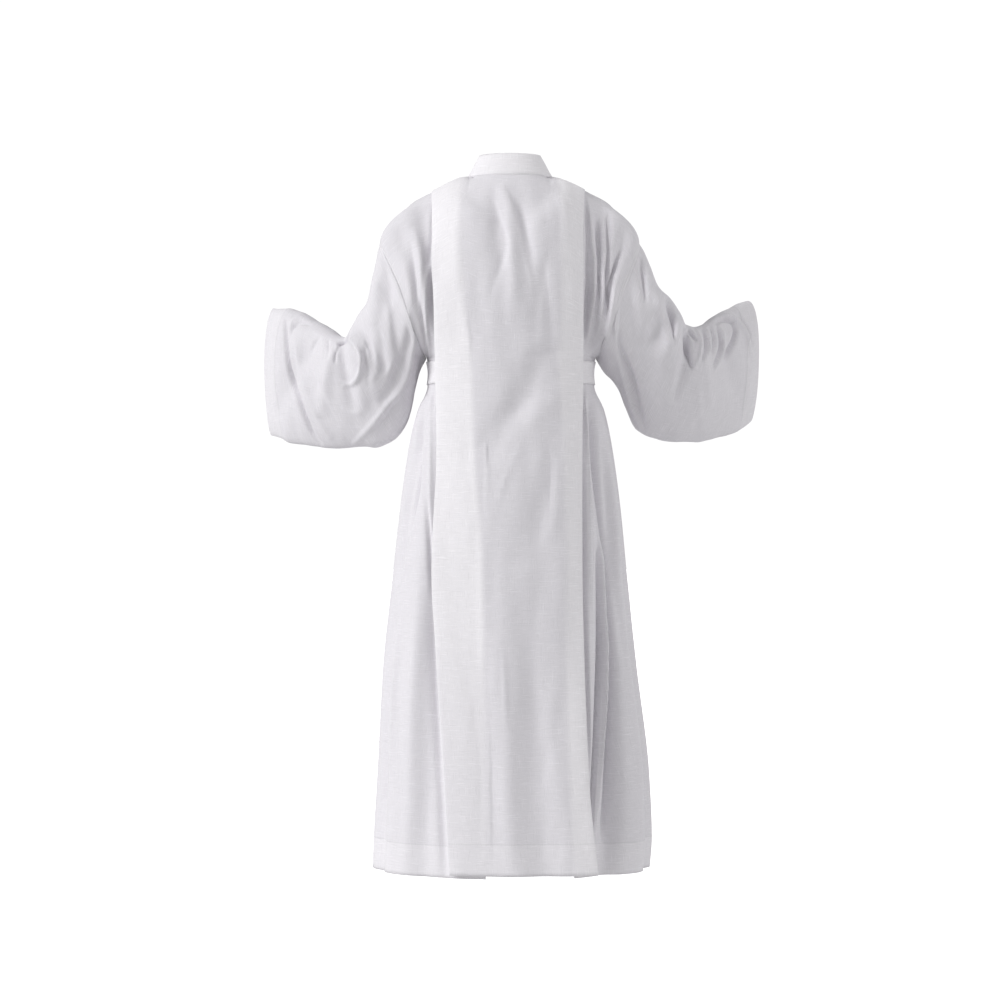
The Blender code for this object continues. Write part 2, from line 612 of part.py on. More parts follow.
def belt_grid():
    """The belt, from its right end past the middle of the front, round the back to the left end."""
    path = []
    for face, side in (("front", -1), ("back", -1), ("back", 1), ("front", 1)):
        fractions = np.linspace(0, 1, BELT_COLUMNS // 4 + 1)[:-1]
        order = fractions if (face, side) in (("front", -1), ("back", 1)) else 1 - fractions
        path += [(face, side, fraction) for fraction in order]
    rows = []
    for height in (BELT_TOP, 0.5 * (BELT_TOP + BELT_BOTTOM), BELT_BOTTOM):
        level = level_of(height)
        ring = [
            body_point(face, side, out_at(side, level, fraction, 0.0), level) for face, side, fraction in path
        ]
        ring = np.array(ring + [ring[0]])
        past = np.array([BELT_LAP / 2, 0, 0])
        ends = np.array([ring[0] + past, ring[-1] - past])
        row = np.concatenate([ends[:1], ring, ends[1:]])
        tangent = np.gradient(row, axis=0)
        outward = unit(np.stack([tangent[:, 1], -tangent[:, 0], np.zeros(len(row))], axis=1))
        outward *= np.sign((outward * row).sum(axis=1, keepdims=True) + 1e-9)
        rise = np.full(len(row), BELT_OFFSET)
        near_lap = (row[:, 1] < 0) * ease(*BELT_LAP_FADE, np.abs(row[:, 0]))
        rise += LAP_SPACING * near_lap
        over = np.arange(len(row)) > len(row) / 2
        rise += over * near_lap * BELT_LAP_SPACING
        rows.append(row + outward * rise[:, None])
    return np.array(rows)


def material(name, colour, roughness):
    """A plain cloth material."""
    made = bpy.data.materials.new(name)
    made.use_nodes = True
    shader = made.node_tree.nodes["Principled BSDF"]
    shader.inputs["Base Color"].default_value = (*colour, 1.0)
    shader.inputs["Roughness"].default_value = roughness
    shader.inputs["Metallic"].default_value = 0.0
    return made


def add_cloth(name, grid, wall, finish, home, closed=False, slit_columns=()):
    """A piece of cloth: an open surface through the grid's points, made thick with Solidify."""
    rows, columns = grid.shape[:2]
    mesh = bpy.data.meshes.new(name)
    made = bmesh.new()
    points = [[made.verts.new(point) for point in row] for row in grid]
    for row in range(rows - 1):
        for column in range(columns if closed else columns - 1):
            if row in SLIT_ROWS and column in slit_columns:
                continue
            after = (column + 1) % columns
            made.faces.new((
                points[row][column], points[row][after], points[row + 1][after], points[row + 1][column],
            ))
    bmesh.ops.recalc_face_normals(made, faces=made.faces)
    made.to_mesh(mesh)
    made.free()
    mesh.shade_smooth()
    piece = bpy.data.objects.new(name, mesh)
    home.objects.link(piece)
    mesh.materials.append(finish)
    thick = piece.modifiers.new("wall", "SOLIDIFY")
    thick.thickness = wall
    thick.offset = 0.0
    thick.use_even_offset = True
    thick.use_quality_normals = True
    return piece


def clear_scene():
    for old in list(bpy.data.objects):
        bpy.data.objects.remove(old, do_unlink=True)


def main():
    clear_scene()
    home = bpy.data.collections.new("worn_alb_robe")
    bpy.context.scene.collection.children.link(home)
    linen = material("white_linen", (0.83, 0.83, 0.84), 0.85)
    band = material("white_linen_band", (0.86, 0.86, 0.87), 0.82)

    left_fold = range(SIDE_COLUMNS, SIDE_COLUMNS + TURN_STEPS)
    grid = back_grid()
    last = grid.shape[1] - 2
    right_fold = [last - column for column in left_fold]
    add_cloth("back", grid, CLOTH_WALL, linen, home, slit_columns=[*left_fold, *right_fold])
    for side in (1, -1):
        add_cloth("front_" + hand(side), front_grid(side), CLOTH_WALL, linen, home)
        add_cloth("sleeve_" + hand(side), sleeve_grid(side), CLOTH_WALL, linen, home, closed=True)
    add_cloth("collar", collar_grid(), BAND_WALL, band, home)
    add_cloth("belt", belt_grid(), BAND_WALL, band, home)


main()
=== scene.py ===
import math

import bpy
import numpy as np
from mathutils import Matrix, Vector


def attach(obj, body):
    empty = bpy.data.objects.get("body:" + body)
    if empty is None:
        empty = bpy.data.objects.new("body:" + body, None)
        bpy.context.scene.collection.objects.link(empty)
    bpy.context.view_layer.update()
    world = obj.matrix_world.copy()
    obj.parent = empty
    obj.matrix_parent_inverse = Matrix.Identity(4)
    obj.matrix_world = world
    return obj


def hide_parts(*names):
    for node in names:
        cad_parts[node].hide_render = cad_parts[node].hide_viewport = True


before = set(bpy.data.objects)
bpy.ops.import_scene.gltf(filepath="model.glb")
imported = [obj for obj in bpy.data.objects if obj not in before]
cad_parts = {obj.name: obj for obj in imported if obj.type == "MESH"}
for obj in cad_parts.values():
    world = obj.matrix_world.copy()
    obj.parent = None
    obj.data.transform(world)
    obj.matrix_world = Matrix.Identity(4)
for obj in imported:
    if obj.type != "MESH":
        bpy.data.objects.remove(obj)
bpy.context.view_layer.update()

# Looks of the worn alb robe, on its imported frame. Metres, +Z up.
# The back faces +Y and the garment's left side is +X.

# Cloth
CLOTH_WALL = 0.0008
BAND_WALL = 0.0015
SEAM_GAP = 0.0002
SLEEVE_GAP = 0.0001
SHOULDER_DIP = 0.0003
COLLAR_STAND_OFF = 0.0015

# Neck and collar
NECK_HALF_WIDTH = 0.075
NECK_BACK = 0.062
NECK_FRONT = 0.075
NECK_DROP = 0.065
NECK_DIP_POWER = 1.3
COLLAR_HEIGHT = 0.0368
COLLAR_LEAN = 0.75
COLLAR_COLUMNS = 144
COLLAR_ROWS = 10
COLLAR_END_GAP = 0.0024
COLLAR_TILT = -0.006
COLLAR_RISE_AT_LAP = 0.0030
COLLAR_PUSH = 0.75
COLLAR_FOOT = 0.0055
COLLAR_FOOT_OUT = 0.0018
COLLAR_FOOT_AT_SIDES = 0.8
COLLAR_FOOT_AT_LAP = 1.0
COLLAR_TUCK = 0.6
COLLAR_BULGE = 0.012
COLLAR_FOOT_ROWS = (-1.15, -1.0, -0.5)
COLLAR_PUSH_FADE = (0.25, -0.1)
COLLAR_BEHIND = (1.75, 1.45)

# The rounding round the neck: how fast it widens with the level, its soft edge and its end
RING_GROWTH = 0.20
RING_INNER = 0.7
RING_FADE = (0.45, 0.10)
RING_BACK_SHARE = 0.35

# Heights of the waist, the belt and the hem
UNDERARM_HEIGHT = -0.334
BELT_TOP = -0.341
BELT_BOTTOM = -0.383
BELT_SLIT_MARGIN = 0.0035
BELT_OFFSET = 0.0020
BELT_LAP = 0.030
BELT_LAP_SPACING = 0.0030
BELT_LAP_FADE = (0.085, 0.040)
BELT_ZONE = 0.07
BELT_COLUMNS = 192
BELT_ROWS = 8
HEM_HEIGHT = -1.272
PANEL_HEM_RISE = 0.006

# Layers of the box pleat, middle of one wall to the middle of the next
RETURN_SPACING = 0.0024
RETURN_SPACING_AT_BELT = 0.0046
PANEL_SPACING = 0.0024
NECK_PRESS = 0.5
NECK_PRESS_END = 0.12
FOLD_ROOM = 0.026
LAP_SPACING = 0.0019
LAP_FADE = (0.060, 0.022)
COLLAR_LAP_FADE = (0.045, 0.025)
LAP_HALF_WIDTH = NECK_HALF_WIDTH * math.sin(math.radians(15))

# Grid of the pieces
UPPER_ROWS = 48
BELT_STEPS = 5
SKIRT_STEPS = 112
SIDE_HIDDEN_COLUMNS = 8
SIDE_SHOWN_COLUMNS = 72
SIDE_COLUMNS = SIDE_HIDDEN_COLUMNS + SIDE_SHOWN_COLUMNS
SIDE_CROWDING = 1.2
RETURN_COLUMNS = 6
TURN_STEPS = 5
PANEL_INNER_COLUMNS = 58
PANEL_OUTER_COLUMNS = 8
FRONT_INNER_COLUMNS = 34
FRONT_OUTER_COLUMNS = 60
SLEEVE_RINGS = 232
SLEEVE_COLUMNS = 4 * UPPER_ROWS
WEAVE_REACH = 6

# Shape of the back, the panel and the fronts: powers of the sections, and the levels between which a
# change runs
SECTION_POWER = 0.85
PANEL_POWER = 2.2
PANEL_SPREAD = 0.3
PANEL_FREE = (0.02, 0.40)
PANEL_FOLD_EDGE = 0.75
COVER_LEVEL = 0.4
HEM_RISE_LEVELS = (1.2, 2.0)
FRONT_SPREAD = 0.35
FOLD_TAPER = 0.8
FOLD_FREE_LEVEL = 1.25
FOLD_AT_SEAM = 0.90
FOLD_AT_PANEL = 0.06

# Shape of the sleeves
SLEEVE_EGG = 0.22
SLEEVE_FACE = (0.05, 0.45)
SLEEVE_FOLD_TAPER = 0.7
ARMHOLE_BLEND = 0.30
UNDERARM_OFFSET = 0.0017
UNDERARM_LIFT = 0.25
UNDERARM_ZONE = (0.55, 1.0)

# How the creases run out at their ends, the seams, the belt and the pleat
CREASE_STEPS = 4
CREASE_TAPER = 0.6
SHOULDER_CALM = 0.03
BELT_CALM = 0.022
SIDE_CALM = 0.93
FACING_CALM = (0.030, 0.055)
ARMHOLE_CALM = 0.05
TROUGH_EDGE = (-0.006, 0.002)
RIDGE_EDGE = (0.0, 0.012)

# Sewing
SEAM_MARGIN = 0.006
STITCH_STEP = 0.0032
STITCH_LENGTH = 0.0023
STITCH_WIDTH = 0.00045
STITCH_HEIGHT = 0.00030
STITCH_FOOT = 0.00005
STITCH_ENDS = (0.8, 0.2)
STITCH_CROWN = 0.6
STITCH_FACES = ((0, 1, 5, 4), (1, 2, 6, 5), (2, 3, 7, 6), (3, 0, 4, 7), (4, 5, 6, 7), (3, 2, 1, 0))
FACING_STITCH = 0.005
BAND_STITCH = 0.0035
TACK_COLUMNS = (0.002, 0.018)
TACK_HEIGHTS = (-0.341, -0.372)

# Hems, facings and where the cloth looks double, which is left out of the painted shade given to single
# cloth
HEM_DEPTH = 0.056
CUFF_HEM_DEPTH = 0.046
FACING_WIDTH = 0.034
FACING_EDGE = 0.001
DOUBLE_EDGE = (-0.010, 0.003)
DOUBLE_START = -0.012
DOUBLE_TROUGH = 0.0006
LOW_DOUBLE_FADE = 0.55
LOW_DOUBLE_LEVELS = (1.45, 1.85)

# Whites of single and double linen and of the thread, and how much of the double white a hem has. The
# greyer
# single white is painted shade: the shaded hollow inside seen through the thin cloth, which double cloth
# hides.
HEM_WHITENESS = 0.30
SINGLE_WHITE_PAINTED_SHADE = (0.730, 0.713, 0.748, 1.0)
DOUBLE_WHITE = (0.835, 0.818, 0.846, 1.0)
THREAD_WHITES = ((0.76, 0.76, 0.77, 1.0), (0.88, 0.88, 0.88, 1.0))

# Yarns of the linen: changes a metre across and down, a shift of the noise, and the values between
# which it shows
THICK_WEFT = ((45.0, 800.0, 1.3), (0.57, 0.68))
THICK_WARP = ((800.0, 40.0, 5.1), (0.59, 0.70))
THIN_WEFT = ((40.0, 700.0, 9.7), (0.42, 0.30))
THIN_WARP = ((700.0, 36.0, 14.2), (0.42, 0.30))
WARP_SHARE = 0.95
CLOUD = (9.0, 6.0, 3.3)
FINE_YARNS = ((300.0, 1700.0, 21.0), (1700.0, 300.0, 27.0))

# Where the hem and the seam lines are read from the marks: edge of the double cloth, middle of the
# stitched line under the hem's edge, and how far the line reaches
HEM_EDGE = (0.0008, -0.0004)
SEAM_EDGE = 0.0006
HEM_LINE = 0.0012
LINE_REACH = (0.0016, 0.0003)

# How much the cloud, the thick yarns, the thin places, the fine yarns and the sewn lines change the
# tone, the roughness and the height of the weave. The sewn lines' darker tone is painted shade in their
# groove.
BASE_TONE = 0.938
TONE_PARTS = (0.05, 0.100, -0.060, 0.040, -0.055)
BASE_ROUGHNESS = 0.90
SLUB_ROUGHNESS = -0.10
FINE_HEIGHT = 0.55
THIN_HEIGHT = -0.5
SEWN_HEIGHT = -1.2
WEAVE_BUMP = {"Strength": 0.40, "Distance": 0.00035}


def table(names, rows):
    """A short table as a dictionary of columns."""
    return dict(zip(names.split(), np.array(rows, float).T))


# Levels run from 0 at the neck and shoulder seam to 1 at the underarm and 2 at the hem.

# The armhole: its distance out from the middle on each side, depth at the back and front, height
ARMHOLE = table("level left right back front height", (
    (0.00, 0.2405, 0.2390, 0.000, 0.000, -0.1220),
    (0.10, 0.2370, 0.2360, 0.024, -0.022, -0.1310),
    (0.25, 0.2170, 0.2200, 0.054, -0.048, -0.1720),
    (0.42, 0.1975, 0.2030, 0.078, -0.070, -0.2160),
    (0.57, 0.1845, 0.1910, 0.088, -0.080, -0.2580),
    (0.74, 0.1720, 0.1780, 0.070, -0.065, -0.3040),
    (1.00, 0.1535, 0.1570, 0.000, 0.000, UNDERARM_HEIGHT),
))

# The shoulder seam
SHOULDER = table("out height", (
    (0.000, 0.000), (0.075, 0.000), (0.096, -0.007), (0.128, -0.019), (0.150, -0.030),
    (0.178, -0.045), (0.200, -0.067), (0.222, -0.096), (0.2405, -0.122),
))

# The back above the underarm: depth and height at the middle, below the neck point and halfway out
BACK = table("level centre_y centre_z neck_y neck_z mid_y mid_z", (
    (0.00, 0.062, 0.000, 0.000, 0.000, 0.000, -0.036),
    (0.10, 0.078, -0.028, 0.027, -0.008, 0.024, -0.040),
    (0.25, 0.100, -0.075, 0.062, -0.040, 0.052, -0.077),
    (0.42, 0.118, -0.130, 0.094, -0.092, 0.082, -0.130),
    (0.57, 0.126, -0.185, 0.110, -0.150, 0.096, -0.185),
    (0.74, 0.126, -0.250, 0.112, -0.228, 0.094, -0.252),
    (1.00, 0.115, UNDERARM_HEIGHT, 0.1024, UNDERARM_HEIGHT, 0.0818, UNDERARM_HEIGHT),
))

# The front above the underarm, in the same way
FRONT = table("level centre_y centre_z neck_y neck_z mid_y mid_z", (
    (0.00, -0.075, -0.065, 0.000, 0.000, 0.000, -0.036),
    (0.10, -0.088, -0.090, -0.044, -0.024, -0.024, -0.041),
    (0.25, -0.104, -0.128, -0.072, -0.062, -0.050, -0.080),
    (0.42, -0.119, -0.172, -0.098, -0.112, -0.079, -0.136),
    (0.57, -0.128, -0.215, -0.110, -0.160, -0.094, -0.190),
    (0.74, -0.131, -0.265, -0.116, -0.236, -0.094, -0.256),
    (1.00, -0.122, UNDERARM_HEIGHT, -0.1086, UNDERARM_HEIGHT, -0.0868, UNDERARM_HEIGHT),
))

# Sections below the underarm: half widths on each side, depth at the back and front
SKIRT = table("drop left right back front", (
    (0.334, 0.1535, 0.1570, 0.115, 0.122),
    (0.362, 0.1495, 0.1530, 0.112, 0.120),
    (0.390, 0.1525, 0.1560, 0.114, 0.122),
    (0.430, 0.1690, 0.1740, 0.126, 0.135),
    (0.500, 0.1860, 0.1890, 0.142, 0.150),
    (0.605, 0.2015, 0.2035, 0.154, 0.163),
    (0.750, 0.2180, 0.2175, 0.163, 0.175),
    (0.900, 0.2340, 0.2330, 0.170, 0.184),
    (1.100, 0.2445, 0.2570, 0.178, 0.193),
    (1.220, 0.2515, 0.2620, 0.184, 0.198),
    (1.275, 0.2535, 0.2580, 0.186, 0.200),
))

# The box pleat: distance out of the outer and inner folds, depth of the panel at its edge and middle
PLEAT = table("level outer_left outer_right inner_left inner_right edge_y centre_y", (
    (0.00, 0.1406, 0.1350, 0.0765, 0.0765, 0.000, 0.062),
    (0.15, 0.1415, 0.1345, 0.0900, 0.0920, 0.040, 0.090),
    (0.45, 0.1420, 0.1320, 0.0940, 0.0960, 0.088, 0.124),
    (0.70, 0.1380, 0.1320, 0.0880, 0.0960, 0.103, 0.136),
    (1.00, 0.1355, 0.1320, 0.0740, 0.0905, 0.098, 0.138),
    (1.18, 0.1325, 0.1295, 0.0680, 0.0990, 0.114, 0.147),
    (1.42, 0.1405, 0.1290, 0.0520, 0.1040, 0.137, 0.160),
    (1.59, 0.1313, 0.1320, 0.0500, 0.1040, 0.152, 0.171),
    (1.83, 0.1167, 0.1404, 0.0470, 0.1100, 0.171, 0.186),
    (2.00, 0.1075, 0.1560, 0.0450, 0.1150, 0.182, 0.196),
))

# Folds of the cloth beside the panel: side, place across at the top and the bottom (0 at the inner
# fold, 1 at the side seam), levels of the top and the bottom, width across, depth
SIDE_FOLDS = (
    ("back", 1, 0.34, 0.36, 0.02, 0.98, 0.10, 0.012),
    ("back", 1, 0.62, 0.58, 0.15, 0.98, 0.09, 0.008),
    ("back", -1, 0.36, 0.34, 0.02, 0.98, 0.09, 0.014),
    ("back", -1, 0.68, 0.58, 0.10, 0.98, 0.09, 0.012),
    ("back", 1, 0.62, 0.84, 1.06, 1.48, 0.09, 0.014),
    ("back", 1, 0.80, 0.76, 1.45, 2.30, 0.08, 0.012),
    ("back", 1, 0.30, 0.36, 1.06, 2.30, 0.10, 0.012),
    ("back", -1, 0.34, 0.42, 1.06, 1.55, 0.08, 0.016),
    ("back", -1, 0.56, 0.60, 1.06, 1.60, 0.08, 0.014),
    ("back", -1, 0.42, 0.14, 1.40, 2.30, 0.13, 0.022),
    ("back", -1, 0.84, 0.80, 1.10, 2.30, 0.09, 0.013),
    ("front", 1, 0.55, 0.52, 0.05, 0.98, 0.10, 0.012),
    ("front", -1, 0.57, 0.50, 0.05, 0.98, 0.10, 0.013),
    ("front", 1, 0.40, 0.46, 1.06, 2.30, 0.10, 0.018),
    ("front", 1, 0.68, 0.74, 1.06, 2.30, 0.09, 0.016),
    ("front", 1, 0.90, 0.88, 1.30, 2.30, 0.07, 0.010),
    ("front", -1, 0.42, 0.40, 1.06, 2.30, 0.10, 0.020),
    ("front", -1, 0.66, 0.68, 1.06, 2.30, 0.09, 0.015),
    ("front", -1, 0.86, 0.90, 1.25, 2.30, 0.07, 0.011),
)

# Folds of the hanging panel: place across at the top and the bottom (1 at the left edge, -1 at the
# right), levels of the top and the bottom, width across, height out of the panel
PANEL_FOLDS = (
    (0.05, -0.14, 0.05, 0.85, 0.13, 0.007),
    (0.20, 0.06, 0.05, 0.60, 0.12, -0.007),
    (-0.12, -0.30, 0.05, 0.75, 0.12, -0.006),
    (-0.62, 0.30, 0.95, 1.22, 0.20, -0.008),
    (-0.70, -0.20, 1.18, 1.42, 0.22, -0.006),
    (0.10, 0.20, 1.35, 2.20, 0.20, 0.006),
    (-0.32, -0.25, 1.45, 2.20, 0.20, -0.007),
)

# Sleeve rings from the armhole to the cuff: highest and lowest point, half widths at the back and the
# front, and how far the forearm has turned to the front
SLEEVE = table((
    "left_top_x left_top_z left_low_x left_low_z right_top_x right_top_z right_low_x right_low_z "
    "top_y low_y back front turn"
), (
    (0.2405, -0.1220, 0.1550, -0.3340, 0.2390, -0.1220, 0.1585, -0.3340, 0.000, 0.000, 0.088, 0.080, 0),
    (0.2480, -0.1630, 0.1685, -0.3680, 0.2520, -0.1450, 0.1740, -0.3570, 0.000, -0.012, 0.085, 0.078, 0),
    (0.2555, -0.1925, 0.1758, -0.3960, 0.2627, -0.1670, 0.1906, -0.3730, 0.000, -0.018, 0.080, 0.072, 0),
    (0.2612, -0.2257, 0.1835, -0.4290, 0.2740, -0.1980, 0.2035, -0.3920, 0.000, -0.022, 0.073, 0.066, 3),
    (0.2765, -0.2480, 0.1945, -0.4590, 0.2945, -0.2216, 0.2167, -0.4253, -0.005, -0.028, 0.066, 0.060, 8),
    (0.2905, -0.2735, 0.2160, -0.4840, 0.3096, -0.2472, 0.2376, -0.4658, -0.010, -0.034, 0.059, 0.056, 15),
    (0.3030, -0.2925, 0.2493, -0.4950, 0.3195, -0.2707, 0.2681, -0.4803, -0.020, -0.040, 0.054, 0.052, 24),
    (0.3170, -0.2905, 0.2873, -0.4970, 0.3392, -0.2734, 0.3044, -0.4874, -0.035, -0.052, 0.050, 0.050, 32),
    (0.3405, -0.2737, 0.3299, -0.4990, 0.3634, -0.2662, 0.3454, -0.4869, -0.060, -0.075, 0.046, 0.050, 38),
    (0.3808, -0.2485, 0.3849, -0.4920, 0.3929, -0.2466, 0.3895, -0.4786, -0.100, -0.105, 0.040, 0.052, 40),
    (0.4217, -0.2325, 0.4293, -0.4815, 0.4265, -0.2268, 0.4303, -0.4645, -0.140, -0.140, 0.033, 0.052, 40),
    (0.4508, -0.2265, 0.4546, -0.4735, 0.4559, -0.2169, 0.4578, -0.4446, -0.170, -0.170, 0.026, 0.052, 40),
))

# Folds of the sleeves: ring at the upper and the lower end, place down the ring at both ends (0 at
# the top, 1 at the bottom), face (1 back, -1 front), width in rings, height out of the sleeve
SLEEVE_FOLDS = (
    (0.38, 0.30, 0.02, 0.60, 1, 0.045, -0.010),
    (0.46, 0.40, 0.02, 0.55, 1, 0.035, 0.008),
    (0.53, 0.55, 0.02, 0.70, 1, 0.035, -0.011),
    (0.60, 0.72, 0.04, 0.75, 1, 0.035, 0.007),
    (0.72, 0.90, 0.06, 0.85, 1, 0.040, -0.008),
    (0.40, 0.34, 0.02, 0.60, -1, 0.045, -0.009),
    (0.55, 0.58, 0.02, 0.70, -1, 0.040, -0.011),
    (0.74, 0.88, 0.05, 0.80, -1, 0.045, -0.008),
)
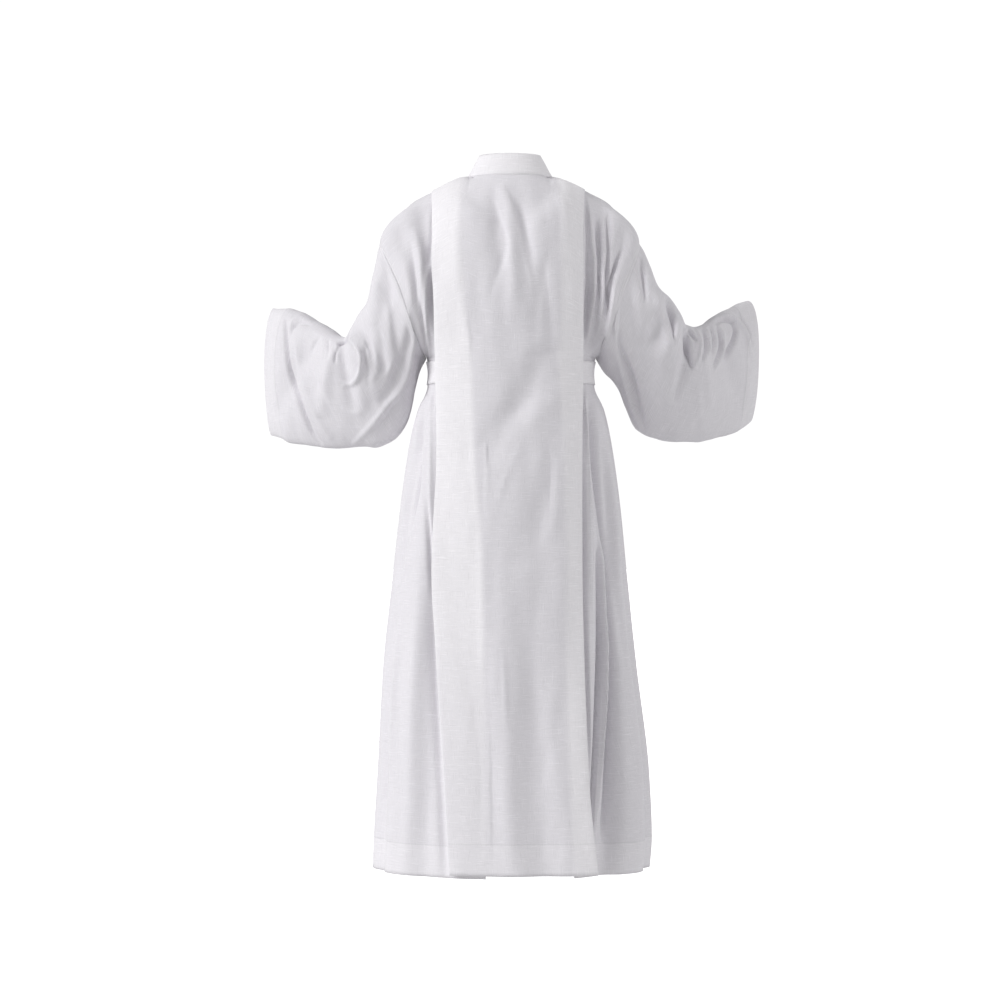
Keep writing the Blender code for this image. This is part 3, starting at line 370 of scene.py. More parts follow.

# Creases listed cloth by cloth: height out of it, widths to the left and the right of the line from
# its first point, then the line's points, across and up. All in millimetres.
CREASES = {
    "panel": (
        (2.4, 8, 3, (77, -10, 91, -70, 94, -163, 83, -254, 73, -308, 74, -347)),
        (1.0, 7, 14, (74, -347, 69, -488, 60, -596, 51, -730, 51, -810, 47, -917)),
        (4.0, 3, 8, (-74, -8, -83, -33, -94, -63, -99, -111, -95, -167)),
        (1.0, 12, 7, (-95, -154, -93, -254, -89, -355)),
        (0.9, 14, 7, (-89, -355, -102, -461, -98, -596, -105, -730, -110, -810, -113, -917)),
        (2.8, 10, 6, (26, -12, 6, -44, -10, -89, -23, -145, -36, -199, -41, -236)),
        (-2.4, 5, 8, (6, -22, -16, -70, -32, -126, -43, -174)),
        (-2.4, 7, 4, (33, -44, 18, -89, 6, -134, 15, -170, 29, -207, 40, -236)),
        (2.2, 13, 13, (-7, -111, -5, -181, 4, -268)),
        (-1.6, 14, 14, (65, -145, 58, -217, 44, -300)),
        (-2.2, 14, 9, (-77, -126, -63, -181, -50, -236, -43, -308)),
        (-4.4, 14, 7, (-59, -160, -70, -236, -77, -308, -82, -358)),
        (2.0, 7, 9, (-101, -61, -112, -126, -113, -217, -111, -308, -109, -355)),
        (-1.4, 12, 9, (-69, -25, -65, -78, -75, -119)),
        (-2.2, 16, 18, (-100, -351, -62, -393, -17, -425, 27, -456, 58, -510)),
        (1.5, 16, 20, (-115, -365, -82, -409, -43, -448, 4, -488, 33, -542)),
        (1.5, 6, 8, (-23, -484, -3, -528, 13, -567, 26, -610)),
        (1.1, 4, 5, (40, -510, 42, -560, 44, -617)),
        (1.2, 6, 6, (-98, -459, -102, -495, -98, -535)),
        (-1.6, 18, 18, (-110, -614, -75, -676, -49, -739, -39, -828)),
        (1.2, 16, 16, (-114, -696, -89, -757, -74, -810, -71, -881)),
        (-1.0, 16, 16, (18, -667, 27, -757, 26, -846)),
        (1.7, 5, 6, (13, -863, 10, -938, 8, -1006)),
        (-1.5, 18, 16, (-108, -910, -92, -979, -71, -1045, -53, -1112)),
        (-0.5, 16, 16, (-24, -952, -21, -1077, -24, -1271)),
        (0.7, 14, 14, (4, -1077, 1, -1183, -3, -1279)),
        (0.7, 14, 14, (-53, -1087, -49, -1183, -47, -1279)),
        (-0.4, 18, 18, (51, -1059, 47, -1165, 42, -1279)),
        (0.9, 3, 7, (130, -344, 72, -346, 1, -347, -71, -346, -131, -344)),
        (0.9, 4, 4, (116, -430, 124, -474, 133, -517)),
    ),
    "side": (
        (-5.5, 5, 6, (139, -54, 145, -102, 148, -162)),
        (5.0, 7, 7, (176, -95, 162, -166, 164, -231, 153, -304, 146, -344)),
        (5.0, 5, 5, (139, -143, 152, -195, 155, -268, 148, -341)),
        (-6.5, 4, 4, (162, -235, 157, -286, 152, -326, 152, -352)),
        (2.4, 9, 9, (194, -121, 183, -184, 175, -242)),
        (-4.0, 6, 6, (183, -121, 173, -195, 170, -253)),
        (-12.0, 4, 6, (-139, -46, -142, -121, -140, -231, -138, -326)),
        (7.0, 5, 5, (-141, -39, -153, -114, -158, -188, -155, -249, -146, -315)),
        (-18.0, 6, 6, (-161, -73, -168, -129, -164, -195, -156, -257, -144, -326)),
        (7.0, 4, 5, (-164, -151, -171, -206, -167, -264, -156, -308)),
        (-14.0, 4, 5, (-181, -69, -182, -132, -178, -188, -173, -242)),
        (6.0, 4, 6, (-186, -136, -186, -195, -182, -253, -175, -311)),
        (-13.0, 4, 4, (-208, -132, -197, -166, -187, -195, -180, -235, -176, -279)),
        (4.0, 3, 4, (-178, -311, -164, -326, -156, -341)),
        (-4.0, 4, 3, (139, -388, 140, -414, 142, -439)),
        (3.0, 4, 4, (144, -414, 145, -487, 145, -596, 143, -704)),
        (-13.0, 6, 4, (157, -436, 164, -500, 169, -572, 185, -643, 199, -697, 210, -758)),
        (-6.0, 4, 4, (151, -596, 147, -686, 145, -777)),
        (5.0, 6, 4, (157, -410, 171, -472, 182, -545, 196, -617)),
        (2.0, 9, 12, (156, -596, 167, -777, 177, -957, 184, -1137, 191, -1280)),
        (-9.0, 3, 3, (210, -795, 215, -858, 221, -930, 224, -996, 228, -1065, 235, -1137, 240, -1169)),
        (4.0, 3, 6, (205, -813, 215, -930, 221, -1011, 224, -1101, 233, -1158)),
        (-2.0, 12, 10, (185, -704, 196, -849, 203, -993, 204, -1137, 208, -1280)),
        (-9.0, 10, 8, (145, -758, 138, -921, 129, -1065, 121, -1191, 116, -1288)),
        (-1.6, 2.5, 2.5, (199, -1090, 217, -1094, 237, -1097)),
        (1.4, 2.5, 2.5, (232, -798, 199, -795, 181, -796)),
        (-10.0, 3, 4, (-135, -362, -134, -469, -134, -596, -135, -777, -140, -957, -146, -1119, -153,
            -1227)),
        (6.0, 3, 3, (-136, -385, -141, -469, -146, -559, -148, -686, -148, -795)),
        (-28.0, 3.5, 7, (-140, -410, -149, -463, -157, -510, -168, -583, -175, -641, -182, -704, -186,
            -758, -189, -849, -191, -939, -189, -1029, -184, -1119, -173, -1209)),
        (5.0, 6, 6, (-147, -385, -160, -438, -174, -505, -190, -596, -199, -686, -202, -777)),
        (-8.0, 4, 4, (-171, -414, -186, -487, -199, -578, -208, -668, -215, -777)),
        (3.0, 6, 4, (-137, -758, -142, -921, -146, -1065, -147, -1227)),
        (-24.0, 10, 3, (-166, -677, -171, -777, -173, -885, -169, -975, -164, -1047, -156, -1119, -149,
            -1191)),
        (9.0, 3, 3, (-173, -668, -179, -758, -181, -849, -182, -939, -178, -1029, -169, -1119, -158,
            -1200)),
        (-3.0, 10, 10, (-202, -813, -200, -957, -194, -1101, -180, -1262)),
        (3.0, 10, 10, (-224, -849, -236, -1029, -239, -1137, -234, -1280)),
    ),
    "sleeve_left": (
        (-13.0, 3, 4, (423, -251, 421, -303, 417, -339, 409, -369, 396, -410, 384, -440, 372, -468, 352,
            -495)),
        (5.5, 5, 7, (405, -287, 394, -344, 376, -401, 356, -446, 332, -484)),
        (-6.0, 3, 4, (413, -290, 407, -272, 392, -263, 374, -266)),
        (4.0, 3, 3, (415, -275, 409, -258, 394, -252, 374, -251, 358, -262)),
        (-3.5, 9, 6, (386, -295, 372, -337, 358, -379, 338, -425, 318, -462)),
        (-10.0, 3.5, 3.5, (318, -309, 307, -302, 295, -294)),
        (7.0, 4, 4, (299, -291, 287, -314, 276, -329, 272, -348, 278, -368, 291, -382, 311, -383)),
        (-7.0, 20, 4, (295, -301, 285, -320, 280, -338, 280, -355, 289, -366)),
        (2.0, 3, 3, (272, -302, 261, -324, 259, -350)),
        (-4.0, 5, 6, (262, -306, 264, -335, 261, -361, 259, -387)),
        (3.5, 7, 8, (251, -281, 245, -312, 244, -336, 245, -358, 259, -383)),
        (-4.0, 8, 8, (245, -270, 236, -307, 231, -340, 227, -365)),
        (3.4, 8, 6, (229, -216, 221, -267, 216, -314, 209, -343)),
        (1.8, 3, 3, (324, -301, 320, -322, 322, -340)),
        (-4.0, 3, 3, (318, -314, 322, -329, 324, -344)),
        (-4.0, 3, 3, (336, -298, 336, -317, 338, -335)),
        (1.6, 4, 4, (346, -298, 348, -320, 344, -346)),
        (-3.5, 3.5, 3.5, (350, -290, 366, -308, 372, -326)),
        (-2.8, 12, 12, (198, -139, 214, -205, 238, -263, 253, -303)),
        (2.4, 11, 11, (216, -113, 234, -179, 257, -236, 276, -269)),
        (-5.0, 8, 10, (179, -252, 183, -292, 194, -334, 207, -362, 220, -391, 242, -420)),
        (6.0, 5, 6, (168, -281, 178, -325, 188, -362, 203, -393, 225, -418, 247, -446, 272, -473, 295,
            -496)),
        (-2.0, 14, 12, (231, -384, 253, -420, 291, -463)),
        (9.0, 20, 9, (168, -332, 172, -369, 181, -409, 198, -446, 220, -475, 249, -497)),
        (1.2, 8, 8, (453, -272, 453, -348, 444, -425)),
    ),
    "sleeve_right": (
        (6.0, 3, 4, (-234, -127, -221, -164, -204, -205, -194, -237, -192, -285, -197, -322)),
        (-8.0, 5, 5, (-240, -149, -244, -185, -247, -236)),
        (5.0, 7, 6, (-265, -210, -274, -250, -284, -290, -292, -315)),
        (-12.0, 5, 5, (-288, -219, -298, -267, -303, -311)),
        (-16.0, 3, 5, (-321, -280, -323, -313, -327, -334, -335, -354)),
        (-8.0, 4, 3, (-327, -278, -335, -290, -345, -303)),
        (4.0, 2.5, 4, (-341, -275, -349, -290, -353, -304, -351, -325, -339, -352)),
        (-9.0, 3, 3, (-355, -276, -363, -294, -363, -315, -353, -340)),
        (3.5, 2.5, 3, (-361, -272, -371, -290, -371, -313, -363, -336)),
        (-8.0, 2.5, 3, (-371, -271, -377, -286, -379, -305, -375, -326)),
        (2.5, 2.5, 3, (-377, -271, -386, -289, -386, -314, -379, -335)),
        (-10.0, 3, 3, (-386, -267, -392, -285, -394, -304, -388, -327, -377, -352)),
        (4.0, 3, 3.5, (-390, -267, -400, -287, -398, -317, -386, -344, -373, -365)),
        (-15.0, 4, 4, (-381, -265, -404, -255, -420, -261, -426, -276, -422, -293, -412, -313, -400, -334)),
        (6.0, 4, 4, (-371, -262, -396, -247, -420, -248, -434, -262, -445, -279, -453, -299, -457, -326)),
        (-6.0, 3, 3, (-432, -238, -443, -258, -453, -278, -459, -307)),
        (2.0, 10, 10, (-219, -160, -231, -229, -249, -302, -272, -368)),
        (2.2, 10, 10, (-347, -372, -351, -416, -359, -476)),
        (-1.8, 12, 12, (-292, -359, -307, -411, -323, -466)),
        (-10.0, 5, 6, (-194, -285, -199, -314, -212, -343, -225, -382, -234, -424, -251, -467)),
        (4.0, 4, 4, (-195, -332, -206, -362, -217, -398, -231, -442, -247, -475)),
        (1.4, 6, 6, (-461, -291, -457, -352, -449, -425)),
    ),
    "front_left": (
        (-4.0, 9, 9, (120, -60, 100, -140, 86, -230, 80, -330)),
        (3.4, 8, 8, (150, -70, 132, -150, 120, -240, 112, -335)),
        (-3.0, 8, 8, (178, -120, 158, -190, 146, -260, 138, -330)),
        (2.6, 8, 8, (62, -150, 56, -230, 52, -335)),
        (-4.0, 5, 5, (60, -386, 64, -440, 70, -520)),
        (3.6, 6, 6, (76, -386, 84, -450, 92, -560, 98, -700)),
        (-4.5, 7, 7, (92, -386, 104, -470, 114, -600, 120, -760)),
        (3.4, 8, 8, (112, -388, 128, -480, 140, -620, 150, -800)),
        (-4.0, 9, 9, (132, -390, 152, -500, 168, -660, 176, -860)),
        (3.6, 11, 11, (60, -640, 62, -900, 66, -1280)),
        (-4.4, 12, 12, (96, -760, 100, -980, 106, -1280)),
        (3.8, 11, 11, (136, -800, 144, -1020, 150, -1280)),
        (-3.6, 11, 11, (186, -820, 196, -1040, 204, -1280)),
        (2.8, 9, 9, (216, -760, 226, -980, 234, -1280)),
    ),
    "front_right": (
        (-4.0, 9, 9, (-118, -60, -98, -140, -88, -230, -82, -330)),
        (3.2, 8, 8, (-148, -66, -134, -150, -124, -240, -116, -335)),
        (-3.2, 8, 8, (-180, -126, -160, -190, -150, -260, -142, -330)),
        (2.6, 8, 8, (-58, -140, -52, -230, -50, -335)),
        (-4.0, 5, 5, (-52, -386, -60, -440, -66, -540)),
        (3.4, 6, 6, (-72, -386, -82, -460, -88, -580)),
        (-4.6, 7, 7, (-90, -386, -102, -480, -110, -620, -118, -780)),
        (3.6, 8, 8, (-112, -388, -130, -490, -142, -640, -148, -780)),
        (-4.0, 9, 9, (-134, -390, -156, -510, -172, -680, -180, -840)),
        (3.4, 11, 11, (-54, -700, -58, -960, -60, -1280)),
        (-4.2, 12, 12, (-92, -740, -98, -1000, -100, -1280)),
        (4.0, 11, 11, (-134, -790, -142, -1010, -152, -1280)),
        (-3.8, 11, 11, (-180, -780, -192, -1030, -202, -1280)),
        (3.0, 9, 9, (-214, -740, -232, -980, -240, -1280)),
    ),
    "under_left": (
        (3.6, 7, 7, (302, -300, 292, -322, 288, -350, 296, -372)),
        (-4.0, 6, 6, (288, -296, 276, -322, 270, -352, 276, -384)),
        (3.4, 9, 9, (268, -250, 250, -300, 240, -350, 246, -400)),
        (-3.2, 12, 12, (236, -200, 216, -270, 206, -330, 204, -372)),
        (2.8, 11, 11, (330, -330, 322, -380, 306, -430, 290, -466)),
        (-3.0, 10, 10, (366, -300, 356, -360, 340, -420, 326, -462)),
        (2.4, 9, 9, (400, -270, 396, -340, 384, -410)),
    ),
    "under_right": (
        (3.6, 7, 7, (-322, -284, -314, -310, -310, -340, -318, -364)),
        (-4.2, 6, 6, (-306, -280, -296, -310, -292, -340, -298, -372)),
        (3.2, 9, 9, (-284, -236, -268, -290, -260, -340, -266, -392)),
        (-3.4, 12, 12, (-250, -180, -232, -250, -224, -310, -222, -356)),
        (3.0, 11, 11, (-350, -320, -342, -370, -326, -420, -310, -456)),
        (-3.0, 10, 10, (-382, -290, -374, -350, -358, -410, -344, -452)),
        (2.2, 9, 9, (-414, -262, -410, -330, -398, -400)),
    ),
}

# Low swells of the cloth: wave lengths, how much more upright than across they run, height
SWELLS = table("length upright height", (
    (0.150, 6.0, 0.00050), (0.110, 5.2, 0.00045), (0.085, 4.4, 0.00035), (0.062, 4.0, 0.00028),
    (0.048, 3.2, 0.00022), (0.036, 2.8, 0.00015), (0.027, 2.4, 0.00010),
))
SWELL_SEED = 11
SWELL_WAVES = 3
SWELL_TURN = 0.7
SWELL_TILT = 0.6
SWELL_SHARE = 1.7
SLEEVE_SWELL = 1.6


def smooth(keys, values, at):
    """A curve through the values that doesn't overshoot them."""
    keys = np.asarray(keys, float)
    values = np.asarray(values, float)
    at = np.asarray(at, float)
    steps = np.diff(keys)
    rises = np.diff(values) / steps
    slopes = np.concatenate([rises[:1], np.zeros(len(keys) - 2), rises[-1:]])
    product = rises[:-1] * rises[1:]
    total = rises[:-1] + rises[1:]
    same = product > 0
    slopes[1:-1][same] = 2 * product[same] / total[same]
    i = np.clip(np.searchsorted(keys, at, side="right") - 1, 0, len(keys) - 2)
    t = np.clip((at - keys[i]) / steps[i], 0, 1)
    return (
        values[i] * (1 + 2 * t) * (1 - t) ** 2
        + values[i + 1] * t * t * (3 - 2 * t)
        + slopes[i] * steps[i] * t * (1 - t) ** 2
        + slopes[i + 1] * steps[i] * t * t * (t - 1)
    )


def read(source, column, at):
    """A column of a table at a place along its first column."""
    keys = next(iter(source.values()))
    return smooth(keys, source[column], at)


def ease(low, high, at):
    """0 below low, 1 above high, and a soft step between."""
    t = np.clip((np.asarray(at, float) - low) / (high - low), 0, 1)
    return t * t * (3 - 2 * t)


def unit(vectors):
    return vectors / (np.linalg.norm(vectors, axis=-1, keepdims=True) + 1e-12)


def arc(grid, axis):
    """Distance along a path, or along the rows or the columns of a grid."""
    steps = np.linalg.norm(np.diff(grid, axis=axis), axis=-1)
    start = np.zeros_like(np.take(steps, [0], axis=axis))
    return np.concatenate([start, np.cumsum(steps, axis=axis)], axis=axis)


def hand(side):
    return "left" if side > 0 else "right"


# Which way the outer face of each cloth looks
PANEL_OUT = np.array([0.0, 1.0, 0.3])


def side_out(side):
    return np.array([side, 1.0, 0.2])


def front_out(side):
    return np.array([0.3 * side, -1.0, 0.2])


def level_of(height):
    """The level of a height below the underarm."""
    return 1 + (UNDERARM_HEIGHT - height) / (UNDERARM_HEIGHT - HEM_HEIGHT)


def height_of(level):
    return UNDERARM_HEIGHT - (level - 1) * (UNDERARM_HEIGHT - HEM_HEIGHT)


SLIT_TOP = level_of(BELT_TOP + BELT_SLIT_MARGIN)
SLIT_BOTTOM = level_of(BELT_BOTTOM - BELT_SLIT_MARGIN)
LEVELS = np.concatenate([
    np.linspace(0, 1, UPPER_ROWS + 1),
    np.linspace(SLIT_TOP, SLIT_BOTTOM, BELT_STEPS + 1),
    np.linspace(SLIT_BOTTOM, 2, SKIRT_STEPS + 1)[1:],
])
SLIT_ROWS = range(UPPER_ROWS + 1, UPPER_ROWS + 1 + BELT_STEPS)
BELT_LEVEL = level_of(0.5 * (BELT_TOP + BELT_BOTTOM))

# Where creases may show, row by row: not at the shoulder seam, nor under the belt
OFF_SHOULDER = ease(0.0, SHOULDER_CALM, LEVELS)[:, None]
OFF_BELT = 1 - np.exp(-(((LEVELS - BELT_LEVEL) / BELT_CALM) ** 4))[:, None]


def edge_out(side, level):
    """How far out the armhole or the side seam is at a level."""
    if level <= 1:
        return float(read(ARMHOLE, hand(side), level))
    return float(read(SKIRT, hand(side), -height_of(level)))


def body_row(face, side, outs, level):
    """Points of the body cloth, before its folds, at distances out from the middle on one level."""
    reach = edge_out(side, level)
    outs = np.clip(outs, 0.0, reach)
    sign = 1 if face == "back" else -1
    if level <= 0:
        round_off = np.sqrt(np.maximum(0.0, 1 - (outs / NECK_HALF_WIDTH) ** 2))
        depth = NECK_BACK if face == "back" else NECK_FRONT
        drop = 0.0 if face == "back" else NECK_DROP
        inside = outs < NECK_HALF_WIDTH
        y = np.where(inside, sign * depth * round_off, 0.0)
        z = np.where(inside, -drop * round_off ** NECK_DIP_POWER, read(SHOULDER, "height", outs))
    elif level <= 1:
        middle = NECK_HALF_WIDTH + 0.5 * (reach - NECK_HALF_WIDTH)
        turn = np.arcsin(np.array([NECK_HALF_WIDTH, middle, reach]) / reach)
        keys = np.concatenate([-turn[1::-1], [0.0], turn])
        source = BACK if face == "back" else FRONT
        at = np.arcsin(np.minimum(1.0, outs / reach))
        places = {}
        for axis, edge in (("y", face), ("z", "height")):
            names = (f"{name}_{axis}" for name in ("centre", "neck", "mid"))
            centre, neck, mid = (read(source, name, level) for name in names)
            places[axis] = smooth(keys, [mid, neck, centre, neck, mid, read(ARMHOLE, edge, level)], at)
        y, z = places["y"], places["z"]
        wide = NECK_HALF_WIDTH + RING_GROWTH * level
        round_off = np.sqrt(np.maximum(0.0, 1 - (outs / wide) ** 2))
        ring_share = RING_BACK_SHARE + (1 - RING_BACK_SHARE) * round_off
        share = round_off ** NECK_DIP_POWER if face == "front" else ring_share
        near = np.where(outs < wide, ease(wide, RING_INNER * wide, outs), 0.0) * ease(*RING_FADE, level)
        y = y + (read(source, "centre_y", level) * round_off - y) * near
        z = z + (read(source, "centre_z", level) * share - z) * near
    else:
        z = np.full(outs.shape, height_of(level))
        cosine = np.sqrt(np.maximum(0.0, 1 - (outs / reach) ** 2))
        y = sign * read(SKIRT, face, -z[0]) * cosine ** SECTION_POWER
    y = sign * np.maximum(sign * y, SEAM_GAP / 2)
    return np.stack([side * outs, y, z], axis=-1)


def normals(grid, face_out):
    """Unit normals of a grid of points, turned to the side that face_out gives."""
    normal = unit(np.cross(np.gradient(grid, axis=1), np.gradient(grid, axis=0)))
    if (normal * face_out).sum() < 0:
        normal = -normal
    return normal


def out_at(side, level, fraction, start):
    """The distance out at a fraction of the way from start to the armhole or side seam."""
    reach = edge_out(side, level)
    first = math.asin(max(-1.0, min(1.0, start / reach)))
    return reach * np.sin(first + fraction * (math.pi / 2 - first))


def fold_depth(face, side, fractions, level):
    """How far the cloth lies inside its smooth form across a side on one level."""
    depth = np.zeros(len(fractions))
    for fold_face, fold_side, top_at, low_at, top, low, width, most in SIDE_FOLDS:
        if (fold_face, fold_side) != (face, side) or not top < level < low:
            continue
        along = (level - top) / (low - top)
        centre = top_at + (low_at - top_at) * along
        across = np.exp(-(((fractions - centre) / width) ** 2))
        depth += most * across * math.sin(math.pi * along) ** FOLD_TAPER
    free = 1.0 if level <= 1 else float(ease(SLIT_BOTTOM, FOLD_FREE_LEVEL, level))
    return depth * free * ease(1.0, FOLD_AT_SEAM, fractions) * ease(0.0, FOLD_AT_PANEL, fractions)


def crease_lift(points, name):
    """How far the listed creases lift the cloth at points, from where these are across and up."""
    x, z = points[..., 0], points[..., 2]
    lift = np.zeros(x.shape)
    for height, wide_left, wide_right, line in CREASES[name]:
        knots = np.array(line, float).reshape(-1, 2) / 1000
        keys = arc(knots, 0)
        even = np.linspace(0, keys[-1], CREASE_STEPS * len(knots))
        path = np.stack([smooth(keys, knots[:, i], even) for i in (0, 1)], axis=1)
        nearest = np.full(x.shape, np.inf)
        turned = np.zeros(x.shape)
        along = np.zeros(x.shape)
        for start, end, done in zip(path, path[1:], even):
            step = end - start
            length = np.linalg.norm(step)
            t = np.clip(((x - start[0]) * step[0] + (z - start[1]) * step[1]) / length ** 2, 0, 1)
            gap = np.hypot(x - start[0] - t * step[0], z - start[1] - t * step[1])
            closer = gap < nearest
            nearest = np.where(closer, gap, nearest)
            turned = np.where(closer, step[0] * (z - start[1]) - step[1] * (x - start[0]), turned)
            along = np.where(closer, (done + t * length) / keys[-1], along)
        width = np.where(turned > 0, wide_left, wide_right) / 1000
        shape = np.exp(-((nearest / width) ** 2)) * np.sin(math.pi * np.clip(along, 0, 1)) ** CREASE_TAPER
        lift += height / 1000 * shape
    return lift


def swell(points, offset):
    """Low swells of the cloth, the same in each run."""
    chance = np.random.default_rng(SWELL_SEED + offset)
    x, y, z = points[..., 0], points[..., 1], points[..., 2]
    lift = np.zeros(x.shape)
    for length, upright, height in zip(*SWELLS.values()):
        for _ in range(SWELL_WAVES):
            angle = chance.uniform(-SWELL_TURN, SWELL_TURN)
            tilt = chance.uniform(-SWELL_TILT, SWELL_TILT)
            phase = chance.uniform(0, 2 * math.pi)
            across = x * math.cos(angle) + y * math.sin(angle)
            wave = np.sin(2 * math.pi / length * (across + z * tilt / upright) + phase)
            lift += height * wave / SWELL_SHARE
    return lift


def rows_of(face, side, outs):
    return np.array([body_row(face, side, row, level) for row, level in zip(outs, LEVELS)])


def side_grid(side):
    """The cloth between the side seam and the inner fold, with its folds."""
    inner = read(PLEAT, "inner_" + hand(side), LEVELS)
    outer = read(PLEAT, "outer_" + hand(side), LEVELS)
    crowded = np.linspace(0, 1, SIDE_SHOWN_COLUMNS + 1) ** SIDE_CROWDING
    outs = np.array([
        np.concatenate([
            np.linspace(start, end, SIDE_HIDDEN_COLUMNS + 1)[:-1], out_at(side, level, crowded, end),
        ])[::-1] for level, start, end in zip(LEVELS, inner, outer)
    ])
    reach = np.array([edge_out(side, level) for level in LEVELS])[:, None]
    first = np.arcsin(inner[:, None] / reach)
    fractions = (np.arcsin(np.minimum(1.0, outs / reach)) - first) / (math.pi / 2 - first)
    plain = rows_of("back", side, outs)
    outward = normals(plain, side_out(side))
    depth = np.array([fold_depth("back", side, row, level) for row, level in zip(fractions, LEVELS)])
    lift = crease_lift(plain, "side") + swell(plain, 1 if side > 0 else 2)
    past = np.abs(plain[..., 0]) - outer[:, None]
    shown = np.where(lift < 0, ease(*TROUGH_EDGE, past), ease(*RIDGE_EDGE, past))
    calm = OFF_SHOULDER * ease(1.0, SIDE_CALM, fractions)
    lift = lift * shown * calm * OFF_BELT
    cloth = plain + outward * (lift - depth)[..., None]
    cloth[0, 1:, 2] = np.maximum(cloth[0, 1:, 2], cloth[1, 1:, 2] - SHOULDER_DIP)
    return cloth, outward


def panel_spacing(level):
    """The space between the panel and its returns, pressed closer where the collar holds them."""
    return PANEL_SPACING * (NECK_PRESS + (1 - NECK_PRESS) * ease(0.0, NECK_PRESS_END, level))


def return_spacing(level):
    """The space that the return keeps to the cloth under it, wider where the belt passes."""
    near_belt = np.exp(-(((level - BELT_LEVEL) / BELT_ZONE) ** 2))
    pressed = RETURN_SPACING / PANEL_SPACING * panel_spacing(level)
    return pressed + (RETURN_SPACING_AT_BELT - RETURN_SPACING) * near_belt


def panel_outs(level):
    """Distances to the left of the middle for the panel's columns, left edge first."""
    left = float(read(PLEAT, "outer_left", level))
    right = -float(read(PLEAT, "outer_right", level))
    middle, half = 0.5 * (left + right), 0.5 * (left - right)
    lower = float(ease(0.0, PANEL_SPREAD, level))
    share = NECK_HALF_WIDTH / half
    knots = [
        sign * NECK_HALF_WIDTH * (1 - lower) + (middle + sign * half * share) * lower for sign in (1, -1)
    ]
    even = np.linspace(1, -1, PANEL_INNER_COLUMNS + 1)
    spread = np.sin(even * math.pi / 2) * (1 - lower) + even * lower
    inner = 0.5 * (knots[0] + knots[1]) + 0.5 * (knots[0] - knots[1]) * spread
    first = np.linspace(left, knots[0], PANEL_OUTER_COLUMNS + 1)[:-1]
    last = np.linspace(knots[1], right, PANEL_OUTER_COLUMNS + 1)[1:]
    return np.concatenate([first, inner, last])


def panel_grid():
    """The hanging panel, from its left outer fold to its right one, and how double each point's cloth
    looks, which frees it of the painted shade given to single cloth: fully outside the inner folds, and
    less towards the hem."""
    outs = np.array([panel_outs(level) for level in LEVELS])
    left_rows = rows_of("back", 1, np.abs(outs))
    right_rows = rows_of("back", -1, np.abs(outs))
    under = np.where((outs >= 0)[..., None], left_rows, right_rows)
    outward = normals(under, PANEL_OUT)
    near = under + outward * (return_spacing(LEVELS) + panel_spacing(LEVELS))[:, None, None]
    left = read(PLEAT, "outer_left", LEVELS)
    right = -read(PLEAT, "outer_right", LEVELS)
    across = (outs - 0.5 * (left + right)[:, None]) / (0.5 * (left - right)[:, None])
    edge = read(PLEAT, "edge_y", LEVELS)[:, None]
    centre = read(PLEAT, "centre_y", LEVELS)[:, None]
    hung = near.copy()
    hung[:, :, 1] = edge + (centre - edge) * (1 - np.abs(across) ** PANEL_POWER)
    hung[:, :, 1] = np.maximum(hung[:, :, 1], near[:, :, 1])
    hung[:, :, 0] = outs
    free = ease(*PANEL_FREE, LEVELS)[:, None, None]
    grid = near * (1 - free) + hung * free
    for top_at, low_at, top, low, width, most in PANEL_FOLDS:
        along = np.clip((LEVELS - top) / (low - top), 0, 1)
        place = (top_at + (low_at - top_at) * along)[:, None]
        window = (np.sin(math.pi * along) ** FOLD_TAPER)[:, None]
        window = window * ease(1.0, PANEL_FOLD_EDGE, np.abs(across))
        grid[:, :, 1] += most * window * np.exp(-(((across - place) / width) ** 2))
    inner_left = read(PLEAT, "inner_left", LEVELS)[:, None]
    inner_right = read(PLEAT, "inner_right", LEVELS)[:, None]
    inner = np.where(outs > 0, inner_left, inner_right)
    covers = (np.abs(outs) > inner - FOLD_ROOM) & (LEVELS > COVER_LEVEL)[:, None]
    grid[:, :, 1] = np.where(covers, np.maximum(grid[:, :, 1], near[:, :, 1]), grid[:, :, 1])
    grid[:, :, 2] += PANEL_HEM_RISE * ease(*HEM_RISE_LEVELS, LEVELS)[:, None]
    lift = crease_lift(grid, "panel") + swell(grid, 3)
    beyond = np.abs(outs) - inner
    lift = np.where(beyond > DOUBLE_START, np.maximum(lift, -DOUBLE_TROUGH), lift)
    fade = 1 - LOW_DOUBLE_FADE * ease(*LOW_DOUBLE_LEVELS, LEVELS)
    double = ease(*DOUBLE_EDGE, beyond) * np.where(outs > 0, fade[:, None], 1.0)
    return grid + normals(grid, PANEL_OUT) * (lift * OFF_SHOULDER)[..., None], double


def turn_points(start, end, sideways):
    """The points of a fold between two layers, on a half circle."""
    middle, arm = 0.5 * (start + end), 0.5 * (start - end)
    radius = np.linalg.norm(arm, axis=1, keepdims=True)
    angles = [math.pi * step / TURN_STEPS for step in range(1, TURN_STEPS)]
    return [middle + arm * math.cos(angle) + sideways * radius * math.sin(angle) for angle in angles]


